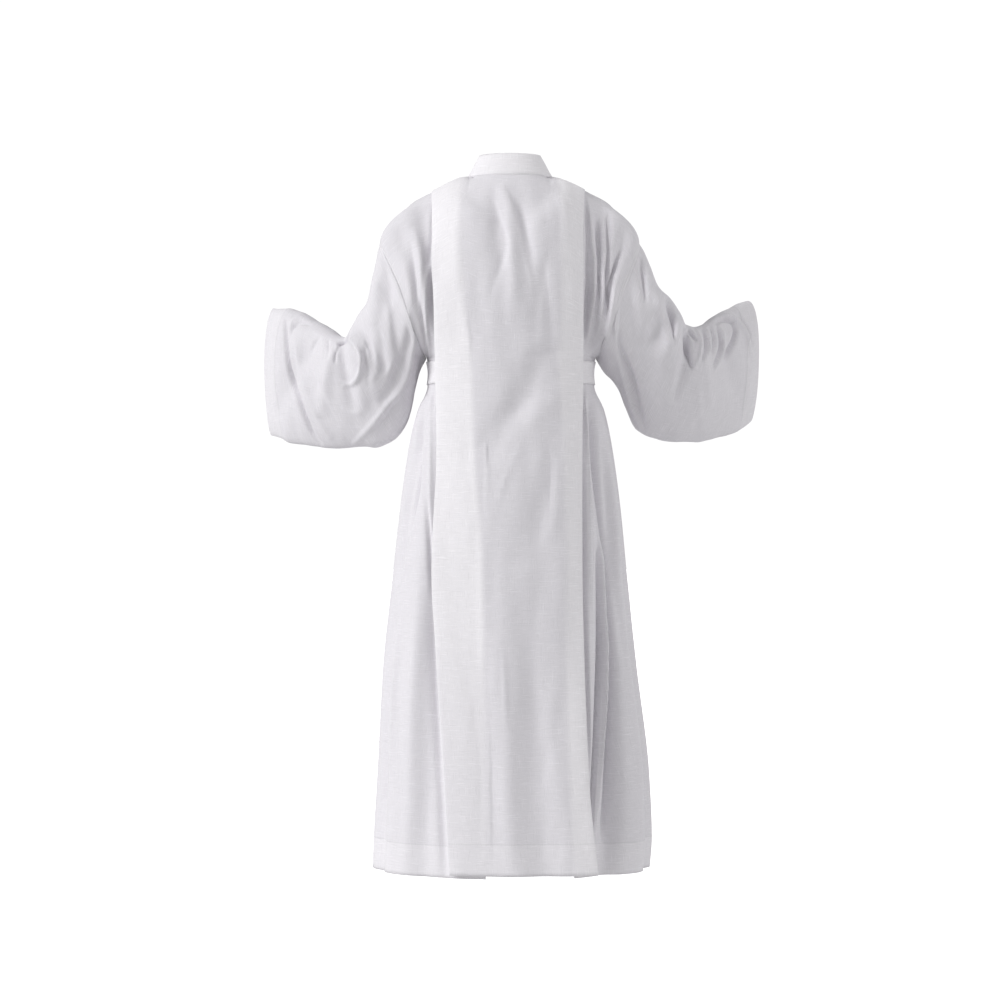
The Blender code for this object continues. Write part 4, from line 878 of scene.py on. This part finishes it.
def back_grid():
    """The whole back: side, inner fold, return, outer fold, panel, and the same on the right. The second
    grid says how double the cloth looks at a point, where the painted shade of single cloth is left out."""
    panel, panel_double = panel_grid()
    panel_out = normals(panel, PANEL_OUT)
    spacing = return_spacing(LEVELS)[:, None]
    halves, doubles = [], []
    for side in (1, -1):
        cloth, outward = side_grid(side)
        edge = 0 if side > 0 else -1
        inward = 1 if side > 0 else -2
        fold_out = unit(panel[:, edge] - panel[:, inward])
        outer = panel[:, edge] - panel_out[:, edge] * panel_spacing(LEVELS)[:, None]
        inner = cloth[:, -1] + outward[:, -1] * spacing
        fold_in = unit(cloth[:, -1] - cloth[:, -2])
        bends = turn_points(cloth[:, -1], inner, fold_in)
        inner_out = read(PLEAT, "inner_" + hand(side), LEVELS)[:, None]
        outer_out = read(PLEAT, "outer_" + hand(side), LEVELS)[:, None]
        under_edge = rows_of("back", side, outer_out)[:, 0]
        under_inner = rows_of("back", side, inner_out)[:, 0]
        returns = []
        for step in range(RETURN_COLUMNS + 1):
            share = step / RETURN_COLUMNS
            under = rows_of("back", side, inner_out + (outer_out - inner_out) * share)[:, 0]
            cloth_at = under + (inner - under_inner) * (1 - share) + (outer - under_edge) * share
            over = np.array([
                np.interp(side * x, side * row[::-side, 0], row[::-side, 1])
                for x, row in zip(cloth_at[:, 0], panel)
            ])
            cloth_at[:, 1] = np.minimum(cloth_at[:, 1], over - panel_spacing(LEVELS))
            returns.append(cloth_at)
        folds = turn_points(returns[-1], panel[:, edge], fold_out)
        folded = np.stack(bends + returns + folds, axis=1)
        halves.append(np.concatenate([cloth, folded], axis=1))
        hidden = np.repeat(panel_double[:, [edge]], folded.shape[1], axis=1)
        doubles.append(np.concatenate([np.zeros(cloth.shape[:2]), hidden], axis=1))
    grid = np.concatenate([halves[0], panel, halves[1][:, ::-1]], axis=1)
    grid[:, :, 1] = np.maximum(grid[:, :, 1], SEAM_GAP / 2)
    double = np.concatenate([doubles[0], panel_double, doubles[1][:, ::-1]], axis=1)
    return grid, double


def front_outs(level, side):
    """Signed distances out, from the lap past the middle to the armhole or side seam."""
    lower = float(ease(0.0, FRONT_SPREAD, level))
    reach = edge_out(side, level)
    start = math.asin(-LAP_HALF_WIDTH / NECK_HALF_WIDTH)
    inner = NECK_HALF_WIDTH * np.sin(np.linspace(start, math.pi / 2, FRONT_INNER_COLUMNS + 1))
    outer = np.linspace(NECK_HALF_WIDTH, reach, FRONT_OUTER_COLUMNS + 1)[1:]
    top = np.concatenate([inner, outer])
    low = out_at(side, level, np.linspace(0, 1, len(top)), -LAP_HALF_WIDTH)
    return top * (1 - lower) + low * lower


def front_grid(side):
    """A front, from the lap past the middle to the armhole and side seam."""
    outs = np.array([front_outs(level, side) for level in LEVELS])
    plain = rows_of("front", side, np.abs(outs))
    plain[..., 0] *= np.where(outs < 0, -1, 1)
    outward = normals(plain, front_out(side))
    fractions = np.linspace(0, 1, outs.shape[1])
    depth = np.array([fold_depth("front", side, fractions, level) for level in LEVELS])
    rise = LAP_SPACING * ease(*LAP_FADE, outs) if side > 0 else np.zeros_like(outs)
    lift = crease_lift(plain, "front_" + hand(side)) + swell(plain, 4 if side > 0 else 5)
    calm = OFF_SHOULDER * ease(1.0, SIDE_CALM, fractions) * ease(*FACING_CALM, outs)
    grid = plain + outward * (rise - depth + lift * calm * OFF_BELT)[..., None]
    grid[:, :, 1] = np.minimum(grid[:, :, 1], -SEAM_GAP / 2)
    raised = np.maximum(grid[0, :-1, 2], grid[1, :-1, 2] - SHOULDER_DIP)
    grid[0, :-1, 2] = np.where(outs[0, :-1] > NECK_HALF_WIDTH, raised, grid[0, :-1, 2])
    return grid


def armhole_ring(side):
    """The points of the armhole: top, down the back, bottom, and up the front."""
    levels = np.linspace(0, 1, SLEEVE_COLUMNS // 2 + 1)
    out = side * read(ARMHOLE, hand(side), levels)
    height = read(ARMHOLE, "height", levels)
    back = np.stack([out, read(ARMHOLE, "back", levels), height], axis=1)
    front = np.stack([out, read(ARMHOLE, "front", levels), height], axis=1)
    return np.concatenate([back, front[-2:0:-1]])


def sleeve_grid(side):
    """Rings of the sleeve, the first one just outside the armhole."""
    name = hand(side)
    count = SLEEVE_COLUMNS
    keys = np.arange(len(SLEEVE["turn"]))
    first = armhole_ring(side)
    down = first[count // 2] - first[0]
    hole_down = (first - first[0]) @ down / (down @ down)
    is_back = np.arange(count) <= count // 2
    hole_wide = first[:, 1] / np.where(is_back, ARMHOLE["back"].max(), -ARMHOLE["front"].min())
    angle = 2 * math.pi * np.arange(count) / count
    drop_down = (1 - np.cos(angle)) / 2
    drop_wide = np.sin(angle) * (1 + SLEEVE_EGG * np.cos(angle))
    rings = []
    for ring in range(SLEEVE_RINGS + 1):
        share = ring / SLEEVE_RINGS
        at = {column: float(smooth(keys, values, share * keys[-1])) for column, values in SLEEVE.items()}
        top = np.array([side * at[name + "_top_x"], at["top_y"], at[name + "_top_z"]])
        low = np.array([side * at[name + "_low_x"], at["low_y"], at[name + "_low_z"]])
        turn = math.radians(at["turn"])
        backward = np.array([side * math.sin(turn), math.cos(turn), 0.0])
        blend = float(ease(0.0, ARMHOLE_BLEND, share))
        along = hole_down * (1 - blend) + drop_down * blend
        wide = hole_wide * (1 - blend) + drop_wide * blend
        half = np.where(wide > 0, at["back"], at["front"])
        points = top + along[:, None] * (low - top) + (wide * half)[:, None] * backward
        for upper, lower, start, end, face, width, most in SLEEVE_FOLDS:
            inside = (np.sin(angle) * face > SLEEVE_FACE[0]) & (drop_down > start) & (drop_down < end)
            reach = np.clip((drop_down - start) / (end - start), 0, 1)
            centre = upper + (lower - upper) * reach
            tapered = np.sin(math.pi * reach) ** SLEEVE_FOLD_TAPER
            shape = np.exp(-(((share - centre) / width) ** 2)) * tapered
            points += (most * face * shape * inside)[:, None] * backward
        rings.append(points)
    grid = np.array(rings)
    step = unit(grid[1] - grid[0])
    near_low = ease(*UNDERARM_ZONE, hole_down)[:, None]
    sideways = np.array([side, 0.0, UNDERARM_LIFT])
    grid[0] = first + step * SLEEVE_GAP * (1 - near_low) + sideways * UNDERARM_OFFSET * near_low
    wide = np.concatenate([grid[:, -1:], grid, grid[:, :1]], axis=1)
    outward = normals(wide, wide - grid.mean(axis=1, keepdims=True))[:, 1:-1]
    calm = ease(0.0, ARMHOLE_CALM, np.linspace(0, 1, SLEEVE_RINGS + 1))[:, None]
    shown = crease_lift(grid, "sleeve_" + name) * ease(*SLEEVE_FACE, np.sin(angle))
    under = crease_lift(grid, "under_" + name) * ease(*SLEEVE_FACE, -np.sin(angle))
    lift = (shown + under + SLEEVE_SWELL * swell(grid, 6 if side > 0 else 7)) * calm
    return np.roll(grid + outward * lift[..., None], count // 2, axis=1)


def collar_grid():
    """The stand collar, a leaning band with its two ends at the middle of the front."""
    angles = np.linspace(-math.pi, math.pi, COLLAR_COLUMNS + 1)
    gap = COLLAR_END_GAP / NECK_FRONT / 2
    angles = np.clip(angles, -math.pi + gap, math.pi - gap)
    lift = (RETURN_SPACING + PANEL_SPACING) * NECK_PRESS
    out = NECK_HALF_WIDTH * np.sin(angles)
    round_off = np.abs(np.cos(angles))
    is_back = np.abs(angles) <= math.pi / 2
    y = np.where(is_back, NECK_BACK, -NECK_FRONT) * round_off
    z = np.where(is_back, 0.0, -NECK_DROP * round_off ** NECK_DIP_POWER)
    behind = ease(*COLLAR_BEHIND, np.abs(angles))
    lap = np.where(is_back, 0.0, ease(*COLLAR_LAP_FADE, np.abs(out)))
    y = y + lift * COLLAR_PUSH * behind * np.cos(angles)
    z = z + lift * behind + COLLAR_STAND_OFF + COLLAR_RISE_AT_LAP * lap
    foot = COLLAR_FOOT * (COLLAR_FOOT_AT_SIDES + (1 - COLLAR_FOOT_AT_SIDES) * round_off)
    foot = foot * (1 - (1 - COLLAR_FOOT_AT_LAP) * lap)
    pushed = COLLAR_FOOT_OUT + LAP_SPACING * lap
    rows = []
    for share in np.concatenate([COLLAR_FOOT_ROWS, np.linspace(0, 1, COLLAR_ROWS + 1)]):
        above, below = max(0.0, share), min(0.0, share)
        narrow = 1 - (1 - COLLAR_LEAN) * above
        bulge = 1 + COLLAR_BULGE * math.sin(math.pi * above)
        tuck = COLLAR_TUCK * ease(COLLAR_FOOT_ROWS[1], COLLAR_FOOT_ROWS[0], share)
        push = pushed * ease(*COLLAR_PUSH_FADE, share) * (1 - tuck)
        rows.append(np.stack([
            out * narrow * bulge + np.sin(angles) * push,
            (y * narrow + COLLAR_TILT * above) * bulge + np.cos(angles) * push,
            z + COLLAR_HEIGHT * above + foot * below,
        ], axis=1))
    return np.array(rows)


def belt_grid():
    """The belt, from its right end past the middle of the front, round the back to the left end."""
    even = np.linspace(0, 1, BELT_COLUMNS // 4 + 1)[:-1]
    parts = (("front", -1, even), ("back", -1, 1 - even), ("back", 1, even), ("front", 1, 1 - even))
    rows = []
    for height in np.linspace(BELT_TOP, BELT_BOTTOM, BELT_ROWS + 1):
        level = level_of(height)
        ring = np.concatenate([
            body_row(face, side, out_at(side, level, fractions, 0.0), level)
            for face, side, fractions in parts
        ])
        ring = np.concatenate([ring, ring[:1]])
        past = np.array([BELT_LAP / 2, 0, 0])
        row = np.concatenate([[ring[0] + past], ring, [ring[-1] - past]])
        tangent = np.gradient(row, axis=0)
        outward = unit(np.stack([tangent[:, 1], -tangent[:, 0], np.zeros(len(row))], axis=1))
        outward *= np.sign((outward * row).sum(axis=1, keepdims=True) + 1e-9)
        near_lap = (row[:, 1] < 0) * ease(*BELT_LAP_FADE, np.abs(row[:, 0]))
        over = np.arange(len(row)) > len(row) / 2
        rise = BELT_OFFSET + near_lap * (LAP_SPACING + over * BELT_LAP_SPACING)
        rows.append(row + outward * rise[:, None])
    return np.array(rows)


def evened(values, axis):
    """Distances averaged along an axis, so that creases don't bend the weave."""
    share = np.ones(2 * WEAVE_REACH + 1) / (2 * WEAVE_REACH + 1)

    def even_line(line):
        wide = np.pad(line, WEAVE_REACH, mode="reflect", reflect_type="odd")
        return np.convolve(wide, share, mode="valid")

    return np.apply_along_axis(even_line, axis, np.apply_along_axis(even_line, axis, values))


def add_object(name, data):
    made = bpy.data.objects.new(name, data)
    bpy.context.scene.collection.objects.link(made)
    return made


def add_cloth(name, grid, wall, finish, marks, closed=False, slit_columns=(), level_row=0):
    """A piece of cloth: a surface through the grid's points, made thick with Solidify. Its UV map is in
    metres along the weave, which lies level at level_row and below. Its material reads the marks."""
    rows, columns = grid.shape[:2]
    wide = np.concatenate([grid, grid[:, :1]], axis=1) if closed else grid
    level = 0.0 if level_row else 1.0
    u = arc(wide * np.array([1.0, 1.0, level]), 1)
    v = arc(wide * np.array([level, 1.0, 1.0]), 0)
    u = evened(u - u[:, [u.shape[1] // 2]], 0)
    v = evened(v - v[level_row], 1)
    v[level_row:] = v[level_row:].mean(axis=1, keepdims=True)
    row, column = np.meshgrid(np.arange(rows - 1), np.arange(wide.shape[1] - 1), indexing="ij")
    slit = np.isin(row, SLIT_ROWS) & np.isin(column, slit_columns)
    row, column = row[~slit], column[~slit]
    after = (column + 1) % columns
    above, below = row * columns, (row + 1) * columns
    faces = np.stack([above + column, above + after, below + after, below + column], axis=1)
    corners = ((row, column), (row, column + 1), (row + 1, column + 1), (row + 1, column))
    flat = np.stack([np.stack([u[at], v[at]], axis=1) for at in corners], axis=1).reshape(-1, 2)
    mesh = bpy.data.meshes.new(name)
    mesh.from_pydata(grid.reshape(-1, 3).tolist(), [], faces.tolist())
    mesh.uv_layers.new(name="cloth").data.foreach_set("uv", flat.ravel())
    for mark, values in marks.items():
        mesh.attributes.new(mark, "FLOAT", "POINT").data.foreach_set("value", values.ravel())
    mesh.shade_smooth()
    mesh.materials.append(finish)
    piece = add_object(name, mesh)
    thick = piece.modifiers.new("wall", "SOLIDIFY")
    thick.thickness = wall
    thick.offset = 0.0
    return piece


def points_at(places, length, path):
    """Points along a path at distances from its start."""
    return np.stack([np.interp(places, length, path[:, i]) for i in range(3)], axis=-1)


def add_stitches(name, runs, finish):
    """Sewn lines: a short raised thread at each step along each run of points and normals."""
    corners, faces = [], []
    for path, outward in runs:
        length = arc(path, 0)
        centres = np.arange(STITCH_STEP / 2, length[-1], STITCH_STEP)
        shifts = (-STITCH_LENGTH / 2, 0.0, STITCH_LENGTH / 2)
        first, middle, last = (points_at(centres + shift, length, path) for shift in shifts)
        up = unit(points_at(centres, length, outward))
        across = np.cross(unit(last - first), up) * STITCH_WIDTH / 2
        low, high = up * STITCH_FOOT, up * STITCH_HEIGHT
        near, far, crown = *STITCH_ENDS, STITCH_CROWN
        ring = [
            first + low,
            middle + across + low,
            last + low,
            middle - across + low,
            first * near + middle * far + high * near,
            middle + across * crown + high,
            last * near + middle * far + high * near,
            middle - across * crown + high,
        ]
        base = 8 * np.arange(len(centres))[:, None] + sum(len(part) for part in corners)
        corners.append(np.stack(ring, axis=1).reshape(-1, 3))
        for face in STITCH_FACES:
            faces += (base + np.array(face)).tolist()
    mesh = bpy.data.meshes.new(name)
    mesh.from_pydata(np.concatenate(corners).tolist(), [], faces)
    mesh.shade_smooth()
    mesh.materials.append(finish)
    return add_object(name, mesh)


def down_line(grid, outward, distance, wall, from_last=False):
    """A run down the cloth at a distance in from its first or last column, just over its face."""
    if from_last:
        grid, outward = grid[:, ::-1], outward[:, ::-1]
    over = arc(grid, 1)
    path, face = (
        np.array([points_at(distance, keys, row) for keys, row in zip(over, field)])
        for field in (grid, outward)
    )
    return path + face * wall / 2, face


def across_line(grid, outward, distance, wall):
    """A run across the cloth at a distance up from its last row, just over its face."""
    return down_line(grid.transpose(1, 0, 2), outward.transpose(1, 0, 2), distance, wall, from_last=True)


def between(run, axis, low, high):
    """The part of a run whose points lie between two values along an axis."""
    path, face = run
    keep = (path[:, axis] > min(low, high)) & (path[:, axis] < max(low, high))
    return path[keep], face[keep]


def node(tree, kind, inputs=None, **settings):
    """A shader node with its settings, and its inputs as values or links."""
    made = tree.nodes.new(kind)
    for name, value in settings.items():
        setattr(made, name, value)
    for key, value in (inputs or {}).items():
        if isinstance(value, bpy.types.NodeSocket):
            tree.links.new(value, made.inputs[key])
        else:
            made.inputs[key].default_value = value
    return made


def maths(tree, operation, *values):
    return node(tree, "ShaderNodeMath", dict(enumerate(values)), operation=operation).outputs[0]


def step_map(tree, value, low, high):
    """A soft step of a value, 0 at low and 1 at high."""
    return node(tree, "ShaderNodeMapRange", {
        "Value": value, "From Min": low, "From Max": high, "To Min": 0.0, "To Max": 1.0,
    }, interpolation_type="SMOOTHSTEP").outputs["Result"]


def streaks(tree, place, per_u, per_v, shift):
    """Noise drawn out along one direction of the weave."""
    drawn_out = node(tree, "ShaderNodeCombineXYZ", {
        "X": maths(tree, "MULTIPLY", place.outputs[0], per_u),
        "Y": maths(tree, "MULTIPLY", place.outputs[1], per_v),
        "Z": shift,
    })
    return node(tree, "ShaderNodeTexNoise", {
        "Vector": drawn_out.outputs[0], "Scale": 1.0, "Detail": 2.0, "Roughness": 0.55,
    }).outputs[0]


def summed(tree, start, parts):
    """A value with shares of other values added to it."""
    for value, share in parts:
        start = maths(tree, "ADD", start, maths(tree, "MULTIPLY", value, share))
    return start


def mark_of(tree, name):
    return node(tree, "ShaderNodeAttribute", attribute_name=name).outputs["Fac"]


def off_from(tree, value, place):
    return maths(tree, "ABSOLUTE", maths(tree, "SUBTRACT", value, place))


def new_material(name):
    """A material with its node tree and its shader."""
    made = bpy.data.materials.new(name)
    made.use_nodes = True
    return made, made.node_tree, made.node_tree.nodes.get("Principled BSDF")


def mixed(tree, factor, first, second):
    return node(tree, "ShaderNodeMix", {"Factor": factor, "A": first, "B": second}, data_type="RGBA")


def linen(name, double=None):
    """White slub linen: a fine plain weave, thick and thin yarns both ways, and whiter where it's double,
    as single cloth is greyed with painted shade for the hollow seen through it.
    Without a value for double, the marks of the cloth give it."""
    made, tree, shader = new_material(name)
    place = node(tree, "ShaderNodeSeparateXYZ", {
        0: node(tree, "ShaderNodeUVMap", uv_map="cloth").outputs[0],
    })
    weft, warp, thin_weft, thin_warp = (
        step_map(tree, streaks(tree, place, *yarns), *shows)
        for yarns, shows in (THICK_WEFT, THICK_WARP, THIN_WEFT, THIN_WARP)
    )
    thin = maths(tree, "MAXIMUM", thin_weft, thin_warp)
    slubs = maths(tree, "MAXIMUM", weft, maths(tree, "MULTIPLY", warp, WARP_SHARE))
    cloud = streaks(tree, place, *CLOUD)
    fine = maths(tree, "ADD", *(streaks(tree, place, *yarns) for yarns in FINE_YARNS))
    sewn_groove_and_shade = 0.0
    if double is None:
        hem, side = mark_of(tree, "from_hem"), mark_of(tree, "from_seam")
        turned = maths(
            tree, "MAXIMUM", step_map(tree, hem, *HEM_EDGE),
            step_map(tree, side, SEAM_MARGIN + SEAM_EDGE, SEAM_MARGIN - SEAM_EDGE),
        )
        shown = maths(tree, "MULTIPLY", turned, HEM_WHITENESS)
        double = maths(tree, "MAXIMUM", mark_of(tree, "double"), shown)
        nearest = maths(tree, "MINIMUM", off_from(tree, hem, HEM_LINE), off_from(tree, side, SEAM_MARGIN))
        # Painted shade: the cloth is darkened along the stitched lines, standing for the shade in their
        # groove; the bump below gives the groove itself.
        sewn_groove_and_shade = step_map(tree, nearest, *LINE_REACH)
    # Painted shade: single cloth is greyer, for the shaded hollow seen through it; double cloth, hems and
    # seam allowances are whiter as they hide it.
    white = mixed(tree, double, SINGLE_WHITE_PAINTED_SHADE, DOUBLE_WHITE)
    tone = summed(tree, BASE_TONE, zip((cloud, slubs, thin, fine, sewn_groove_and_shade), TONE_PARTS))
    coloured = node(tree, "ShaderNodeVectorMath", {
        0: white.outputs["Result"], "Scale": tone,
    }, operation="SCALE")
    rough = summed(tree, BASE_ROUGHNESS, [(slubs, SLUB_ROUGHNESS)])
    height = summed(tree, slubs, ((fine, FINE_HEIGHT), (thin, THIN_HEIGHT), (sewn_groove_and_shade, SEWN_HEIGHT)))
    bump = node(tree, "ShaderNodeBump", {**WEAVE_BUMP, "Height": height})
    tree.links.new(coloured.outputs[0], shader.inputs["Base Color"])
    tree.links.new(rough, shader.inputs["Roughness"])
    tree.links.new(bump.outputs[0], shader.inputs["Normal"])
    shader.inputs["Specular IOR Level"].default_value = 0.25
    shader.inputs["Sheen Weight"].default_value = 0.10
    shader.inputs["Sheen Roughness"].default_value = 0.6
    return made


def thread():
    """White sewing thread with a slight twist."""
    made, tree, shader = new_material("white_thread")
    place = node(tree, "ShaderNodeTexCoord").outputs["Object"]
    twist = node(tree, "ShaderNodeTexNoise", {"Vector": place, "Scale": 900.0, "Detail": 1.0}).outputs[0]
    colour = mixed(tree, twist, *THREAD_WHITES)
    tree.links.new(colour.outputs["Result"], shader.inputs["Base Color"])
    shader.inputs["Roughness"].default_value = 0.6
    return made


def finish_piece(piece, replaced=()):
    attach(piece, "root")
    if replaced:
        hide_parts(*replaced)


def sew(name, runs):
    finish_piece(add_stitches(name + "_stitches", runs, thread_finish))


def body_marks(grid, double, seam_columns):
    """What the material reads: distances up from the hem's line and in from the side seams, and how
    double the cloth looks. Single cloth gets painted shade; hems, seam allowances and double cloth get less
    of it."""
    from_hem = arc(grid[::-1], 0)[::-1] - HEM_DEPTH
    over = arc(grid, 1)
    from_seam = np.full(over.shape, 1.0)
    if 0 in seam_columns:
        from_seam = np.minimum(from_seam, over)
    if -1 in seam_columns:
        from_seam = np.minimum(from_seam, over[:, -1:] - over)
    return {"from_hem": from_hem, "double": double, "from_seam": from_seam}


cloth_finish = linen("white_slub_linen")
band_finish = linen("white_slub_linen_band", double=1.0)
thread_finish = thread()

# The back
grid, double = back_grid()
last = grid.shape[1] - 2
left_fold = list(range(SIDE_COLUMNS, SIDE_COLUMNS + TURN_STEPS))
right_fold = [last - column for column in left_fold]
back = add_cloth(
    "back_cloth", grid, CLOTH_WALL, cloth_finish, body_marks(grid, double, (0, -1)),
    slit_columns=left_fold + right_fold, level_row=UPPER_ROWS,
)
finish_piece(back, ["back"])
side_columns = SIDE_COLUMNS + 1
panel_start = side_columns + (TURN_STEPS - 1) + (RETURN_COLUMNS + 1) + (TURN_STEPS - 1)
panel_end = grid.shape[1] - panel_start
parts = (
    (grid[:, :side_columns], side_out(1)),
    (grid[:, panel_start:panel_end], PANEL_OUT),
    (grid[:, -side_columns:], side_out(-1)),
)
left_part, panel_part, right_part = ((part, normals(part, face_out)) for part, face_out in parts)
runs = [across_line(*part, HEM_DEPTH, CLOTH_WALL) for part in (left_part, panel_part, right_part)]
runs.append(down_line(*left_part, SEAM_MARGIN, CLOTH_WALL))
runs.append(down_line(*right_part, SEAM_MARGIN, CLOTH_WALL, from_last=True))
for from_edge in TACK_COLUMNS:
    tack = down_line(*panel_part, from_edge, CLOTH_WALL, from_last=True)
    runs.append(between(tack, 2, *TACK_HEIGHTS))
panel = panel_part[0]
drops = -panel[:, -1, 2]
from_last_row = arc(panel[::-1], 0)[::-1][:, -1]
for height in TACK_HEIGHTS:
    tack = across_line(*panel_part, float(np.interp(-height, drops, from_last_row)), CLOTH_WALL)
    edge = float(np.interp(-height, drops, panel[:, -1, 0]))
    runs.append(between(tack, 0, *(edge + column for column in TACK_COLUMNS)))
sew("back", runs)

# The fronts
fronts = {}
for side in (1, -1):
    grid = front_grid(side)
    name = "front_" + hand(side)
    outward = normals(grid, front_out(side))
    facing = ease(-FACING_EDGE, FACING_EDGE, FACING_WIDTH - arc(grid, 1))
    marks = body_marks(grid, facing, (-1,))
    fronts[side] = add_cloth(name + "_cloth", grid, CLOTH_WALL, cloth_finish, marks, level_row=UPPER_ROWS)
    finish_piece(fronts[side], [name])
    sew(name, [
        across_line(grid, outward, HEM_DEPTH, CLOTH_WALL),
        down_line(grid, outward, FACING_STITCH, CLOTH_WALL),
        down_line(grid, outward, FACING_WIDTH, CLOTH_WALL),
        down_line(grid, outward, SEAM_MARGIN, CLOTH_WALL, from_last=True),
    ])

# The sleeves
sleeves = {}
for side in (1, -1):
    grid = sleeve_grid(side)
    name = "sleeve_" + hand(side)
    wide = np.concatenate([grid, grid[:, :1]], axis=1)
    outward = normals(wide, wide - wide.mean(axis=1, keepdims=True))
    from_hem = (arc(wide[::-1], 0)[::-1] - CUFF_HEM_DEPTH)[:, :-1]
    over = arc(wide, 1)
    from_seam = np.minimum(np.minimum(over, over[:, -1:] - over), arc(wide, 0))[:, :-1]
    marks = {"from_hem": from_hem, "double": np.zeros(from_hem.shape), "from_seam": from_seam}
    sleeves[side] = add_cloth(name + "_cloth", grid, CLOTH_WALL, cloth_finish, marks, closed=True)
    finish_piece(sleeves[side], [name])
    sew(name, [
        across_line(wide, outward, CUFF_HEM_DEPTH, CLOTH_WALL),
        down_line(wide, outward, SEAM_MARGIN, CLOTH_WALL),
    ])


def add_band(name, grid):
    """A band of double cloth with a stitch line near each long edge."""
    outward = unit(grid * np.array([1.0, 1.0, 0.0]))
    band = add_cloth(name + "_cloth", grid, BAND_WALL, band_finish, {})
    finish_piece(band, [name])
    sew(name, [
        across_line(grid[::-1], outward[::-1], BAND_STITCH, BAND_WALL),
        across_line(grid, outward, BAND_STITCH, BAND_WALL),
    ])
    return band


# The collar and the belt
collar = add_band("collar", collar_grid())
belt = add_band("belt", belt_grid())

# Floor, lights and camera
FLOOR_HEIGHT = -1.493
FLOOR_HALF = 30
FLOOR_WHITE = (0.82, 0.82, 0.82, 1.0)
FLOOR_GLOW = 0.85
SKY_LIGHT = 0.44
SKY_GLOW = 0.60
CAMERA_LENS = 97.3
CAMERA_SENSOR = 36.0
CAMERA_REACH = 100.0
CAMERA_PLACE = (0.0185, 5.0, -0.5957)


def seen_glow(tree, strength):
    """A strength that only the camera's own rays see."""
    seen = node(tree, "ShaderNodeLightPath").outputs["Is Camera Ray"]
    return maths(tree, "MULTIPLY", seen, strength)


floor_mesh = bpy.data.meshes.new("floor")
corners = [(x * FLOOR_HALF, y * FLOOR_HALF, 0) for x, y in ((-1, -1), (1, -1), (1, 1), (-1, 1))]
floor_mesh.from_pydata(corners, [], [(0, 1, 2, 3)])
floor = add_object("floor", floor_mesh)
floor.location.z = FLOOR_HEIGHT
floor_finish, tree, _ = new_material("pale_floor")
pale = node(tree, "ShaderNodeBsdfDiffuse", {"Color": FLOOR_WHITE})
glow = node(tree, "ShaderNodeEmission", {"Strength": seen_glow(tree, FLOOR_GLOW)})
both = node(tree, "ShaderNodeAddShader", {0: pale.outputs[0], 1: glow.outputs[0]})
tree.links.new(both.outputs[0], tree.nodes["Material Output"].inputs["Surface"])
floor_mesh.materials.append(floor_finish)

world = bpy.data.worlds.new("studio")
bpy.context.scene.world = world
world.use_nodes = True
tree = world.node_tree
strength = maths(tree, "ADD", SKY_LIGHT, seen_glow(tree, SKY_GLOW))
ground = tree.nodes["Background"]
ground.inputs["Color"].default_value = (1.0, 1.0, 1.0, 1.0)
tree.links.new(strength, ground.inputs["Strength"])


def add_sun(name, towards, strength, softness):
    """A sun whose light comes from a direction, softened by an angle in degrees."""
    lamp = bpy.data.lights.new(name, "SUN")
    lamp.energy = strength
    lamp.angle = math.radians(softness)
    made = add_object(name, lamp)
    made.rotation_mode = "QUATERNION"
    made.rotation_quaternion = Vector(towards).to_track_quat("Z", "Y")


add_sun("key", (0.80, 0.38, 0.46), 2.15, 30)
add_sun("fill", (-0.90, 0.15, 0.30), 0.75, 50)

camera = bpy.data.cameras.new("camera")
camera.lens = CAMERA_LENS
camera.sensor_width = CAMERA_SENSOR
camera.clip_end = CAMERA_REACH
eye = add_object("camera", camera)
eye.location = CAMERA_PLACE
eye.rotation_euler = (math.pi / 2, 0.0, math.pi)
bpy.context.scene.camera = eye
bpy.context.scene.view_settings.view_transform = "Standard"
bpy.context.scene.view_settings.look = "None"
